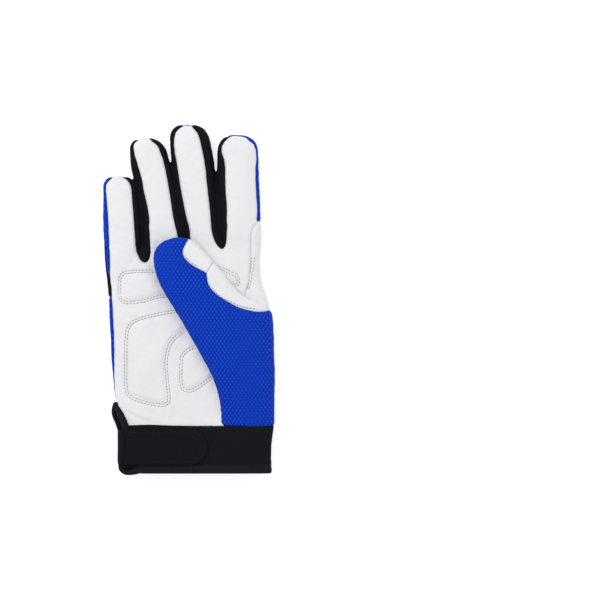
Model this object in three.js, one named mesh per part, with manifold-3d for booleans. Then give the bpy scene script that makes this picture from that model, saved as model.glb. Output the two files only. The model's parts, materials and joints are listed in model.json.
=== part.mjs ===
// A right-hand curling glove, lying palm up with its back flat on the floor and its thumb folded
// over the palm. Millimetres, +X towards the thumb side, +Y towards the fingertips, +Z up.
import * as THREE from 'three';
import { mergeVertices } from 'three/addons/utils/BufferGeometryUtils.js';
import Module from 'manifold-3d';

const wasm = await Module();
wasm.setup();

// Driving dimensions
const gap = 0.3;
const leatherWall = 1.2;
const neopreneWall = 2.2;
const bindingProud = 0.6;
const padRise = 1.0;
const sideHeight = 7;
const fingerTop = 15;
const palmTop = 16.4;
const fingerSides = 14;
const fingerHollowSides = 8;
const palmSides = 24;
const palmHollowSides = 14;
const thumbArch = 10;
const thumbHollowArch = 6;
const fingerSharpness = 0.8;
const palmSharpness = 0.62;
const underSharpness = 0.66;
const underLift = 0.62;
const underSpread = 1.06;

const backSeamHeight = 3;
const frontSeamHeight = 8.4;
const patchLow = 4.5;
const cuffLine = 33;
const cuffBottom = 2.2;
const cuffTop = 17.6;
const cuffMiddle = 9.6;
const cuffLeft = -51.2;
const cuffRight = 58.2;
const cuffDrop = 0.8;
const bindingHeight = 5.6;
const ventBindingWidth = 4;

const thumbBed = 14.9;
const thumbSeamHeight = 17.6;
const pressFade = 13;
const pressShare = 0.24;
const pressEnd = 170;
const pressFadeLow = 18;
const pressFadeHigh = 14;

// Cutting prisms reach past the glove by these heights, and hollows run on past the cuff line
const tall = 60;
const deep = -6;
const wide = 90;
const hollowRun = 6;

const strapThickness = 1.7;
const strapLow = 6.9;
const strapHigh = 30.8;
const strapEnd = 12.6;
const strapRoot = -20;
const strapFold = -50.2;

const black = '#1c1d22';
const blue = '#1438c8';
const white = '#ecebee';

// Fingers from the little one to the index: the outer edges and the seams of the white front panel
const fingers = [
  {
    tipX: -50.4,
    tipY: 208.6,
    rows: [
      { y: 138.0, left: -57.6, seamLeft: -55.8, seamRight: -36.4, right: -33.5 },
      { y: 148.4, left: -58.8, seamLeft: -56.0, seamRight: -37.1, right: -33.6 },
      { y: 160.3, left: -59.6, seamLeft: -56.6, seamRight: -38.5, right: -34.2 },
      { y: 172.0, left: -60.1, seamLeft: -57.4, seamRight: -38.8, right: -34.3 },
      { y: 185.5, left: -60.3, seamLeft: -58.8, seamRight: -39.7, right: -35.2 },
      { y: 198.6, left: -60.1, seamLeft: -58.9, seamRight: -40.6, right: -36.8 },
    ],
  },
  {
    tipX: -31.5,
    tipY: 235.6,
    rows: [
      { y: 138.0, left: -32.8, seamLeft: -30.6, seamRight: -13.0, right: 0.1 },
      { y: 148.4, left: -32.8, seamLeft: -29.4, seamRight: -12.2, right: -0.4 },
      { y: 156.8, left: -32.9, seamLeft: -28.5, seamRight: -11.2, right: -1.7 },
      { y: 170.1, left: -33.5, seamLeft: -28.7, seamRight: -10.2, right: -3.9 },
      { y: 185.5, left: -34.3, seamLeft: -29.7, seamRight: -13.0, right: -7.1 },
      { y: 195.3, left: -35.2, seamLeft: -31.8, seamRight: -14.3, right: -9.2 },
      { y: 203.0, left: -37.6, seamLeft: -33.3, seamRight: -15.2, right: -10.7 },
      { y: 212.8, left: -40.2, seamLeft: -35.7, seamRight: -16.9, right: -12.6 },
      { y: 225.0, left: -42.0, seamLeft: -39.5, seamRight: -19.9, right: -16.0 },
    ],
  },
  {
    tipX: -2.1,
    tipY: 245.0,
    rows: [
      { y: 138.0, left: 0.7, seamLeft: 5.0, seamRight: 17.0, right: 22.0 },
      { y: 148.4, left: 0.3, seamLeft: 4.0, seamRight: 17.5, right: 21.9 },
      { y: 158.9, left: -0.9, seamLeft: 2.8, seamRight: 17.8, right: 21.6 },
      { y: 168.0, left: -2.8, seamLeft: 0.0, seamRight: 15.8, right: 20.8 },
      { y: 177.8, left: -5.2, seamLeft: -2.4, seamRight: 14.4, right: 19.6 },
      { y: 185.5, left: -6.6, seamLeft: -4.6, seamRight: 13.7, right: 18.8 },
      { y: 195.3, left: -8.7, seamLeft: -6.1, seamRight: 12.9, right: 18.5 },
      { y: 205.8, left: -10.8, seamLeft: -7.8, seamRight: 12.0, right: 17.7 },
      { y: 219.0, left: -13.4, seamLeft: -10.1, seamRight: 10.6, right: 16.6 },
      { y: 233.0, left: -14.1, seamLeft: -11.9, seamRight: 8.6, right: 14.0 },
    ],
  },
  {
    tipX: 33.0,
    tipY: 237.7,
    rows: [
      { y: 138.0, left: 22.7, seamLeft: 26.0, seamRight: 42.0, right: 49.2 },
      { y: 150.0, left: 22.6, seamLeft: 25.6, seamRight: 42.7, right: 49.0 },
      { y: 158.9, left: 22.2, seamLeft: 25.2, seamRight: 43.0, right: 49.4 },
      { y: 168.0, left: 21.4, seamLeft: 25.3, seamRight: 43.7, right: 49.9 },
      { y: 176.4, left: 20.5, seamLeft: 25.2, seamRight: 46.2, right: 49.7 },
      { y: 185.5, left: 19.5, seamLeft: 25.1, seamRight: 47.6, right: 49.0 },
      { y: 198.8, left: 19.1, seamLeft: 24.7, seamRight: 46.9, right: 48.3 },
      { y: 211.4, left: 18.4, seamLeft: 23.9, seamRight: 46.3, right: 47.8 },
      { y: 226.0, left: 18.9, seamLeft: 22.0, seamRight: 46.0, right: 47.1 },
    ],
  },
];

// The palm and wrist tube, cut along lines that slant up towards the index finger
const palmRows = [
  { leftY: 33.0, rightY: 33.0, left: -50.8, right: 57.6, bottom: 2.8, top: 17.0 },
  { leftY: 43.4, rightY: 43.4, left: -52.4, right: 57.6, bottom: 1.2, top: 16.9 },
  { leftY: 54.0, rightY: 54.0, left: -53.1, right: 57.8, bottom: 0, top: 16.6 },
  { leftY: 66.0, rightY: 67.0, left: -53.5, right: 57.9, bottom: 0, top: palmTop },
  { leftY: 79.0, rightY: 81.0, left: -54.3, right: 57.8, bottom: 0, top: palmTop },
  { leftY: 92.0, rightY: 95.0, left: -54.9, right: 57.6, bottom: 0, top: palmTop },
  { leftY: 105.0, rightY: 109.0, left: -55.5, right: 57.0, bottom: 0, top: palmTop },
  { leftY: 117.0, rightY: 122.0, left: -56.1, right: 54.6, bottom: 0, top: palmTop },
  { leftY: 128.0, rightY: 134.0, left: -57.0, right: 50.6, bottom: 0, top: palmTop },
  { leftY: 138.0, rightY: 146.0, left: -57.8, right: 49.0, bottom: 0, top: palmTop },
];
const palmEnd = { leftY: 157.6, rightY: 168.0, left: -57.4, right: 47.2 };

// The folded thumb, from near its tip down to the cuff: its left and right edges seen from
// above, its highest point, how far across the crease with the palm lies, and the height of
// its lower right edge, which reaches the floor side once the thumb has grown into the hand
const thumbTip = { x: -1.2, y: 164.6, z: 21 };
const thumbRows = [
  { leftX: -5.6, leftY: 165.2, rightX: 3.8, rightY: 162.8, top: 25.0, crease: 1, low: thumbBed },
  { leftX: -12.6, leftY: 164.9, rightX: 7.2, rightY: 160.0, top: 27.2, crease: 1, low: thumbBed },
  { leftX: -19.4, leftY: 162.3, rightX: 10.9, rightY: 155.6, top: 28.4, crease: 1, low: thumbBed },
  { leftX: -24.2, leftY: 157.2, rightX: 14.7, rightY: 150.8, top: 28.9, crease: 1, low: thumbBed },
  { leftX: -25.3, leftY: 149.8, rightX: 18.0, rightY: 147.0, top: 29.2, crease: 1, low: thumbBed },
  { leftX: -23.1, leftY: 138.6, rightX: 23.8, rightY: 140.3, top: 29.6, crease: 1, low: thumbBed },
  { leftX: -18.9, leftY: 128.8, rightX: 30.1, rightY: 131.6, top: 29.8, crease: 1, low: thumbBed },
  { leftX: -12.6, leftY: 118.3, rightX: 37.8, rightY: 124.6, top: 29.6, crease: 0.98, low: thumbBed },
  { leftX: -5.6, leftY: 107.1, rightX: 48.4, rightY: 119.0, top: 29.0, crease: 0.72, low: 9 },
  { leftX: 0.7, leftY: 95.9, rightX: 56.6, rightY: 113.4, top: 28.2, crease: 0.56, low: 0 },
  { leftX: 7.0, leftY: 84.7, rightX: 59.2, rightY: 100.8, top: 27.2, crease: 0.43, low: 0 },
  { leftX: 12.9, leftY: 73.5, rightX: 60.1, rightY: 85.4, top: 25.8, crease: 0.33, low: 0 },
  { leftX: 17.5, leftY: 62.3, rightX: 60.1, rightY: 68.6, top: 23.8, crease: 0.22, low: 0 },
  { leftX: 20.4, leftY: 51.8, rightX: 59.9, rightY: 53.2, top: 21.4, crease: 0.14, low: 0 },
  { leftX: 21.6, leftY: 42.0, rightX: 59.5, rightY: 42.0, top: 19.0, crease: 0.09, low: 1.2 },
  { leftX: 21.3, leftY: 33.0, rightX: 59.1, rightY: 33.0, top: 17.2, crease: 0.05, low: 2.8 },
];

// Plan outlines of seams, each point [x, y]
const thumbSeam = [
  [0, 166], [-3.1, 160], [-5, 155.8], [-4.1, 151.3], [-0.3, 147.4], [5.6, 144.1], [12.1, 140.6],
  [12.3, 135.1], [15, 129.5], [20.3, 124.7], [26.9, 120.4], [35, 116.3], [43.4, 114.3], [50.8, 114.1],
  [54.6, 116.5], [62, 121],
];
const knuckleSeam = [[-34, 132], [-7, 135.4], [12.2, 140.7], [16.6, 148.6], [24, 162]];
const creaseLine = [[62, 120.2], [54.6, 117.6], [43.4, 120.4], [37.8, 124.6], [32.2, 112.7], [29.4, 93.8],
  [26.6, 60.2], [22, 30]];
const patchOutline = [
  [54, 179], [46.2, 176.4], [43.7, 168.3], [42.7, 151.9], [42, 137.2], [38.5, 126], [43.4, 121.1],
  [50.4, 118.3], [57, 116.9], [62, 121.8], [58, 163.8],
];
const bandLow = 123.9;
const bandLine = [[-66, 158.9], [66, 152]];
const bandCeiling = 9.5;
const ventOutline = [[-53.6, 50.4], [-43, 33], [-47.5, -3], [-70, -3], [-70, 50.4]];

// Raised pads on the palm
const padOutlines = [
  [[-50.2, 135], [-47, 141.2], [17, 145], [32, 140], [34.6, 134.6], [30.8, 130.6], [7, 124], [-33, 120],
    [-44, 119.2], [-50.2, 124]],
  [[-8, 115], [-38.6, 108], [-45.6, 95], [-45.8, 62], [-39, 51.5], [-21, 47.3], [-13.9, 52], [-15.8, 76],
    [-12.2, 92], [1.4, 101]],
  [[-6.9, 80], [0, 88.2], [11.2, 79.8], [14.7, 66], [-1, 57.2], [-7.2, 64.4]],
];

const mix = (a, b, share) => a + (b - a) * share;
const power = (value, exponent) => Math.sign(value) * Math.abs(value) ** exponent;
const smooth = (value) => THREE.MathUtils.smoothstep(value, 0, 1);

// The x of the thumb's left edge at a height y on the hand
function thumbEdgeAt(y) {
  const rows = thumbRows.filter((row) => row.leftX > -25 || row.leftY < 150);
  for (let i = 1; i < rows.length; i += 1) {
    const above = rows[i - 1];
    const below = rows[i];
    if (y <= above.leftY && y >= below.leftY) {
      return mix(below.leftX, above.leftX, (y - below.leftY) / (above.leftY - below.leftY));
    }
  }
  return thumbRows.at(-1).leftX;
}

// The palm gives way under the thumb
function pressed(point) {
  if (point.z <= sideHeight) return point;
  const across = smooth((point.x - thumbEdgeAt(point.y) + pressFade * 0.6) / pressFade);
  const along = smooth((point.y - cuffLine) / pressFadeLow) * smooth((pressEnd - point.y) / pressFadeHigh);
  const share = 1 - pressShare * across * along;
  return new THREE.Vector3(point.x, point.y, sideHeight + (point.z - sideHeight) * share);
}

// A closed tube skinned over rings of points, with a flat face at each end
function loft(rings) {
  const sides = rings[0].length;
  const positions = rings.flatMap((ring) => ring.flatMap((point) => [point.x, point.y, point.z]));
  const indices = [];
  for (let row = 0; row < rings.length - 1; row += 1) {
    for (let k = 0; k < sides; k += 1) {
      const a = row * sides + k;
      const b = row * sides + (k + 1) % sides;
      indices.push(a, b, b + sides, a, b + sides, a + sides);
    }
  }
  for (const row of [0, rings.length - 1]) {
    const centre = new THREE.Vector3();
    rings[row].forEach((point) => centre.addScaledVector(point, 1 / sides));
    const hub = positions.length / 3;
    positions.push(centre.x, centre.y, centre.z);
    for (let k = 0; k < sides; k += 1) {
      const a = row * sides + k;
      const b = row * sides + (k + 1) % sides;
      indices.push(hub, ...(row ? [a, b] : [b, a]));
    }
  }
  const geometry = new THREE.BufferGeometry();
  geometry.setAttribute('position', new THREE.Float32BufferAttribute(positions, 3));
  geometry.setIndex(indices);
  return geometry;
}

// Twice the signed area of a flat polygon
function orientation(...points) {
  return points.reduce((sum, point, i) => sum + point.cross(points[(i + 1) % points.length]), 0);
}

function signedVolume(positions, indices) {
  const corner = (i) => new THREE.Vector3().fromArray(positions, indices[i] * 3);
  let volume = 0;
  for (let i = 0; i < indices.length; i += 3) {
    volume += corner(i).dot(corner(i + 1).cross(corner(i + 2)));
  }
  return volume;
}

// A closed geometry as a solid for cutting and joining
function solid(geometry) {
  const bare = geometry.clone();
  bare.deleteAttribute('normal');
  bare.deleteAttribute('uv');
  const merged = mergeVertices(bare, 1e-4);
  const positions = merged.attributes.position.array;
  const kept = [];
  for (let i = 0; i < merged.index.count; i += 3) {
    const [a, b, c] = [0, 1, 2].map((k) => merged.index.getX(i + k));
    if (a !== b && b !== c && c !== a) kept.push(a, b, c);
  }
  if (signedVolume(positions, kept) < 0) kept.reverse();
  return new wasm.Manifold(new wasm.Mesh({
    numProp: 3,
    vertProperties: Float32Array.from(positions),
    triVerts: Uint32Array.from(kept),
  }));
}

// A vertical prism over a plan outline
function prism(outline, low, high) {
  const shape = new THREE.Shape(outline.map(([x, y]) => new THREE.Vector2(x, y)));
  const geometry = new THREE.ExtrudeGeometry(shape, { depth: high - low, bevelEnabled: false, steps: 1 });
  return solid(geometry.translate(0, 0, low));
}

// A plan outline moved outwards by a distance, or inwards where it is negative
function grow(outline, distance) {
  const points = outline.map(([x, y]) => new THREE.Vector2(x, y));
  const side = Math.sign(orientation(...points));
  return points.map((point, i) => {
    const before = points.at(i - 1);
    const after = points[(i + 1) % points.length];
    const first = point.clone().sub(before).normalize();
    const second = after.clone().sub(point).normalize();
    const normal = first.clone().add(second).normalize();
    const miter = Math.max(0.5, Math.abs(normal.dot(first)));
    const reach = side * distance / miter;
    return [point.x + normal.y * reach, point.y - normal.x * reach];
  });
}

// The largest closed body of a cut solid, as a geometry
function largestBody(cut) {
  const { vertProperties, triVerts } = cut.getMesh();
  const parent = Array.from({ length: vertProperties.length / 3 }, (_, i) => i);
  const root = (i) => {
    let top = i;
    while (parent[top] !== top) top = parent[top];
    parent[i] = top;
    return top;
  };
  for (let i = 0; i < triVerts.length; i += 3) {
    parent[root(triVerts[i + 1])] = root(triVerts[i]);
    parent[root(triVerts[i + 2])] = root(triVerts[i]);
  }
  const bodies = new Map();
  for (let i = 0; i < triVerts.length; i += 3) {
    const key = root(triVerts[i]);
    if (!bodies.has(key)) bodies.set(key, []);
    bodies.get(key).push(triVerts[i], triVerts[i + 1], triVerts[i + 2]);
  }
  const volumes = [...bodies.values()].map((faces) => [signedVolume(vertProperties, faces), faces]);
  volumes.sort((a, b) => b[0] - a[0]);
  const geometry = new THREE.BufferGeometry();
  geometry.setAttribute('position', new THREE.Float32BufferAttribute(vertProperties, 3));
  geometry.setIndex(volumes[0][1]);
  return mergeVertices(geometry.toNonIndexed(), 1e-5);
}

// One ring of a soft tube: round above its widest line, flattened below it
function tubeRing(left, right, levels, inset, sides) {
  const centre = left.clone().add(right).multiplyScalar(0.5);
  const axis = right.clone().sub(left).normalize();
  const half = Math.max(0.02, right.distanceTo(left) / 2 - inset);
  const top = Math.max(levels.middle + 0.02, levels.top - inset);
  const bottom = Math.min(levels.middle - 0.02, levels.bottom + inset);
  return Array.from({ length: sides }, (_, k) => {
    const angle = 2 * Math.PI * k / sides;
    const upper = Math.sin(angle) >= 0;
    const across = half * power(Math.cos(angle), upper ? levels.sharpness : underSharpness);
    const lift = upper ? Math.sin(angle) ** levels.sharpness
      : Math.min(1, underSpread * Math.abs(Math.sin(angle)) ** underLift);
    const z = upper ? mix(levels.middle, top, lift) : mix(levels.middle, bottom, lift);
    return new THREE.Vector3(centre.x + axis.x * across, centre.y + axis.y * across, z);
  });
}

function fingerSolid(finger, inset) {
  const levels = { middle: sideHeight, top: fingerTop, bottom: 0, sharpness: fingerSharpness };
  const sides = inset > 0 ? fingerHollowSides : fingerSides;
  const rings = finger.rows.map((row) => tubeRing(
    new THREE.Vector2(row.left, row.y), new THREE.Vector2(row.right, row.y), levels, inset, sides));
  const last = finger.rows.at(-1);
  const reach = finger.tipY - last.y - inset;
  const steps = inset > 0 ? 3 : 5;
  for (let step = 1; step <= steps; step += 1) {
    const angle = Math.PI / 2 * step / steps;
    const along = Math.sin(angle);
    const width = step === steps ? 0 : Math.cos(angle) ** 0.7;
    const thickness = step === steps ? 0 : Math.cos(angle) ** 0.8;
    const y = last.y + reach * along;
    const centre = mix((last.left + last.right) / 2, finger.tipX, along);
    const half = ((last.right - last.left) / 2 - inset) * width;
    const tip = {
      middle: mix(sideHeight, sideHeight - 0.5, along),
      top: mix(sideHeight, fingerTop - inset, thickness),
      bottom: mix(sideHeight, inset, Math.sqrt(thickness)),
      sharpness: fingerSharpness,
    };
    rings.push(tubeRing(new THREE.Vector2(centre - half, y), new THREE.Vector2(centre + half, y), tip, 0,
      sides));
  }
  const pole = new THREE.Vector3(finger.tipX, finger.tipY - inset, sideHeight - 0.5);
  rings[rings.length - 1] = rings.at(-1).map(() => pole.clone());
  return solid(loft(rings.map((ring) => ring.map(pressed))));
}

function palmSolid(inset, low = 0) {
  const ring = (row, margin) => tubeRing(
    new THREE.Vector2(row.left, row.leftY), new THREE.Vector2(row.right, row.rightY),
    { middle: sideHeight + row.bottom * 0.8, top: row.top, bottom: row.bottom, sharpness: palmSharpness },
    margin, inset > 0 ? palmHollowSides : palmSides);
  const rings = palmRows.map((row) => ring(row, inset));
  if (low) rings.unshift(ring({ ...palmRows[0], leftY: cuffLine - low, rightY: cuffLine - low }, inset));
  const last = palmRows.at(-1);
  const steps = 4;
  for (let step = 1; step <= steps; step += 1) {
    const angle = Math.PI / 2 * step / steps;
    const along = Math.sin(angle);
    const thickness = Math.max(0.04, Math.cos(angle) ** 0.9);
    rings.push(ring({
      leftY: mix(last.leftY, palmEnd.leftY - inset, along),
      rightY: mix(last.rightY, palmEnd.rightY - inset, along),
      left: mix(last.left, palmEnd.left, along),
      right: mix(last.right, palmEnd.right, along),
      top: mix(sideHeight + inset, palmTop, thickness),
      bottom: mix(sideHeight - inset, 0, Math.sqrt(thickness)),
    }, inset));
  }
  return solid(loft(rings.map((points) => points.map(pressed))));
}

// The folded thumb: an arch over its bed, whose right side closes under itself where the thumb
// is free and runs down to the floor side of the hand where the two have grown together
function thumbRing(row, inset) {
  const left = new THREE.Vector2(row.leftX, row.leftY);
  const right = new THREE.Vector2(row.rightX, row.rightY);
  const width = right.distanceTo(left);
  const grown = row.low < thumbBed;
  const at = (share, z) => {
    const plan = left.clone().lerp(right, THREE.MathUtils.clamp(share, inset / width, 1 - inset / width));
    return new THREE.Vector3(plan.x, plan.y, z);
  };
  const bed = thumbBed + inset;
  const top = Math.max(row.top - inset, bed + 0.3);
  const leftEdge = mix(bed, top, 0.42);
  const rightEdge = grown ? mix(row.low + inset, top, 0.5) : leftEdge;
  const low = row.low + inset;
  const round = (grown ? 11 : 5) / width;
  const steps = inset > 0 ? thumbHollowArch : thumbArch;
  const arch = Array.from({ length: steps + 1 }, (_, k) => {
    const angle = Math.PI * (1 - k / steps);
    const share = 0.5 + 0.5 * power(Math.cos(angle), 0.78) * (1 - 2 * inset / width);
    return at(share, mix(mix(leftEdge, rightEdge, share), top, Math.sin(angle) ** 0.78));
  });
  const corner = [0.35, 0.75].map((turn) => at(
    1 - (1 - Math.cos(turn * Math.PI / 2)) * round - inset / width,
    mix(rightEdge, low, Math.sin(turn * Math.PI / 2))));
  const heel = at(1 - round, low);
  const hinge = row.crease + inset / width;
  const floorEdge = grown ? [at(Math.max(hinge, 1 - round - 0.02), low), at(hinge + 0.05, mix(low, bed, 0.7))]
    : [at(0.8, bed), at(0.65, bed)];
  const creasePoint = at(grown ? hinge : 0.5, bed);
  const leftRound = Math.min(4 / width, row.crease * 0.5);
  const under = [0.5, 0].map((share) => at(mix(leftRound + inset / width,
    grown ? hinge - 0.02 : 0.45, share), bed));
  const leftCorner = at(leftRound * 0.3 + inset / width, mix(bed, leftEdge, 0.4));
  return [...arch, ...corner, heel, ...floorEdge, creasePoint, ...under, leftCorner];
}

function thumbSolid(inset, low = 0) {
  const rows = inset > 0 ? thumbRows.slice(1) : thumbRows;
  const rings = rows.map((row) => thumbRing(row, inset));
  if (low) rings.push(rings.at(-1).map((point) => point.clone().setY(cuffLine - low)));
  const tip = new THREE.Vector3(thumbTip.x - inset * 2.2, thumbTip.y - inset * 0.8, thumbTip.z);
  rings.unshift(rings[0].map(() => tip.clone()));
  return solid(loft(rings));
}

function cuffSolid(inset, low, high) {
  const levels = { middle: cuffMiddle, top: cuffTop, bottom: cuffBottom, sharpness: palmSharpness };
  const ring = (y, spread) => tubeRing(
    new THREE.Vector2(cuffLeft + spread, y), new THREE.Vector2(cuffRight - spread, y), levels, inset,
    inset > 0 ? palmHollowSides : palmSides);
  return solid(loft([ring(high, 0), ring(mix(low, high, 0.5), -cuffDrop * 0.4), ring(low, cuffDrop)]));
}

const joined = (parts) => parts.reduce((whole, part) => whole.add(part));

// The whole hand and its hollow
const handOuter = joined([palmSolid(0), ...fingers.map((finger) => fingerSolid(finger, 0))]);
const handHollow = joined([
  palmSolid(leatherWall, hollowRun), ...fingers.map((finger) => fingerSolid(finger, leatherWall))]);
const thumbOuter = thumbSolid(0);
const thumbHollow = thumbSolid(leatherWall, hollowRun);
const thumbClear = thumbSolid(-gap);
const vent = prism(ventOutline, deep, tall);

const handShell = handOuter.subtract(handHollow).subtract(thumbClear).subtract(vent);
const thumbShell = thumbOuter.subtract(thumbHollow).subtract(handHollow);

// Plan outlines of the front panels, worked out from the seams of the fingers
const seamPoint = (row, side) => [row[side], row.y];

function tipArc(finger, inset) {
  const last = finger.rows.at(-1);
  const middle = (last.seamLeft + last.seamRight) / 2;
  const half = (last.seamRight - last.seamLeft) / 2;
  return [140, 112, 90, 68, 40].map((degrees) => {
    const angle = THREE.MathUtils.degToRad(degrees);
    const x = mix(middle, finger.tipX, Math.sin(angle)) + half * power(Math.cos(angle), 0.75);
    return [x, last.y + (finger.tipY - last.y - inset) * power(Math.sin(angle), 0.9)];
  });
}

const webBottoms = [147.9, 151, 158.2];
const webRise = 4;
const webCurve = [{ share: 0.3, rise: 2.7 }, { share: 0.62, rise: 0 }, { share: 0.86, rise: 1.5 }];
const tipMargin = 0.3;
const palmSideY = 136;
const upper = (finger, limit) => finger.rows.filter((row) => row.y > limit);

function webArc(index) {
  const limit = webBottoms[index] + webRise;
  const [start] = seamPoint(upper(fingers[index], limit)[0], 'seamRight');
  const [end] = seamPoint(upper(fingers[index + 1], limit)[0], 'seamLeft');
  return webCurve.map(({ share, rise }) => [mix(start, end, share), webBottoms[index] + rise]);
}

function frontOutline() {
  const outline = [[-42.6, 30], [-53.2, 50.6], [-52.8, 60], [-53.2, 90], [-54.6, 117], [-55.8, 138]];
  fingers.forEach((finger, index) => {
    const before = (webBottoms[index - 1] ?? palmSideY) + webRise;
    const after = (webBottoms[index] ?? palmSideY) + webRise;
    outline.push(...upper(finger, before).map((row) => seamPoint(row, 'seamLeft')));
    outline.push(...tipArc(finger, tipMargin));
    outline.push(...upper(finger, after).map((row) => seamPoint(row, 'seamRight')).reverse());
    if (index < 3) outline.push(...webArc(index));
  });
  outline.push([42, 137.2], [38.3, 125.4], [32.2, 112.7], [29.4, 93.8], [26.6, 60.2], [22, 30]);
  return outline;
}

// The side strip between two fingers: from one fingertip down to the web and up to the next
function webOutline(index) {
  const [first, second] = [fingers[index], fingers[index + 1]];
  const limit = webBottoms[index] + webRise;
  const rightSeam = upper(first, limit).map((row) => seamPoint(row, 'seamRight')).reverse();
  const leftSeam = upper(second, limit).map((row) => seamPoint(row, 'seamLeft'));
  const down = [...tipArc(first, tipMargin).slice(-2), ...rightSeam];
  const up = [...leftSeam, ...tipArc(second, tipMargin).slice(0, 2)];
  const firstEdge = first.rows.at(-1).right + 1.2;
  const secondEdge = second.rows.at(-1).left - 1.2;
  const lowerY = Math.min(down[0][1], up.at(-1)[1]);
  const shoulder = mix(lowerY, Math.max(first.rows.at(-1).y, second.rows.at(-1).y), 0.1);
  const between = down[0][1] < up.at(-1)[1]
    ? [[secondEdge, up.at(-1)[1]], [secondEdge, shoulder + 4], [firstEdge, down[0][1]]]
    : [[secondEdge, up.at(-1)[1]], [firstEdge, shoulder + 4], [firstEdge, down[0][1]]];
  return [...down, ...webArc(index), ...up, ...between];
}

const front = frontOutline();
const webs = [0, 1, 2].map(webOutline);
const frontZone = prism(grow(front, -gap / 2), frontSeamHeight, tall);
const frontClear = prism(grow(front, gap / 2), frontSeamHeight - gap, tall);
const patchClear = prism(grow(patchOutline, gap / 2), patchLow, tall);

// A slab across the whole glove between two heights along the hand
function across(lowY, highY) {
  return prism([[-wide, lowY], [wide, lowY], [wide, highY], [-wide, highY]], deep, tall);
}

// Vent and hem bindings are strips of a thicker wall round the glove body and the cuff
const bindingStock = joined([palmSolid(-bindingProud), cuffSolid(-bindingProud, -0.1, cuffLine)])
  .subtract(palmSolid(leatherWall + bindingProud, hollowRun))
  .subtract(cuffSolid(neopreneWall + bindingProud, -hollowRun, cuffLine + 1));
const ventEdge = prism(grow(ventOutline, ventBindingWidth), deep, tall)
  .subtract(across(-wide, bindingHeight));
const bindingZone = across(0, bindingHeight).add(ventEdge);
const bindingClear = prism(grow(ventOutline, ventBindingWidth + gap), deep, tall)
  .add(across(-wide, bindingHeight + gap));

// Pads are the palm grown by their rise, inside their own outlines
const raised = palmSolid(-padRise).subtract(handHollow).subtract(thumbSolid(-gap - padRise)).subtract(vent);
const pads = joined(padOutlines.map((outline) => raised.intersect(prism(outline, frontSeamHeight, tall))));

const palmLeather = handShell.intersect(frontZone).subtract(patchClear).add(pads.intersect(frontZone))
  .subtract(bindingClear);
const indexPatch = handShell.intersect(prism(grow(patchOutline, -gap / 2), patchLow + gap, tall));

const fourchettes = webs.map((outline) => handShell
  .intersect(prism(grow(outline, -gap / 2), backSeamHeight, tall))
  .subtract(frontClear).subtract(patchClear));

const webClear = joined(webs.map((outline) => prism(grow(outline, gap / 2), backSeamHeight - gap, tall)));
const backShell = handShell.subtract(frontClear).subtract(webClear).subtract(patchClear)
  .subtract(bindingClear);
const aboveBand = (rise) => [
  [bandLine[0][0], bandLine[0][1] + rise], [bandLine[1][0], bandLine[1][1] + rise], [66, 260], [-66, 260]];
const band = [[-66, bandLow], [66, bandLow], bandLine[1], bandLine[0]];
const edgeStrip = [
  [-66, bandLow - 1], [-40, bandLow - 1], [-40, bandLine[0][1] - 2], [-66, bandLine[0][1] - 0.2]];
const knuckle = backShell.intersect(prism(band, deep, bandCeiling));
const fingerBacks = backShell.intersect(prism(aboveBand(gap), deep, tall));
const handBack = backShell.intersect(
  across(0, bandLow - gap).add(prism(edgeStrip, bandCeiling + gap, tall)));

// The thumb's white front: its underside as far as the crease, and all that lies right of its seam
const rightOfSeam = [...thumbSeam, [80, 121], [80, 175], [0, 175]];
const leftOfCrease = [...creaseLine, [-60, 30], [-60, 200], [80, 200]];
const whiteZone = (extra) => prism(grow(rightOfSeam, extra), deep, tall)
  .add(prism(grow(leftOfCrease, extra), deep, thumbSeamHeight + extra));
const thumbFront = thumbShell.intersect(whiteZone(0));
const tipSide = [...knuckleSeam, [24, 200], [-60, 200], [-60, 132]];
const thumbFrontTip = thumbFront.intersect(prism(tipSide, deep, tall));
const thumbFrontBase = thumbFront.subtract(prism(grow(tipSide, gap), deep, tall));
const thumbBack = thumbShell.subtract(whiteZone(gap));

const cuffBand = cuffSolid(0, -0.1, cuffLine - gap)
  .subtract(cuffSolid(neopreneWall, -hollowRun, cuffLine + hollowRun)).subtract(vent).subtract(bindingClear);
const notVent = [[-44, bindingHeight], [wide, bindingHeight], [wide, 60], [-30, 60]];
const binding = bindingStock.intersect(bindingZone).subtract(vent)
  .subtract(prism(notVent, deep, tall)).subtract(thumbClear);

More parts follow.
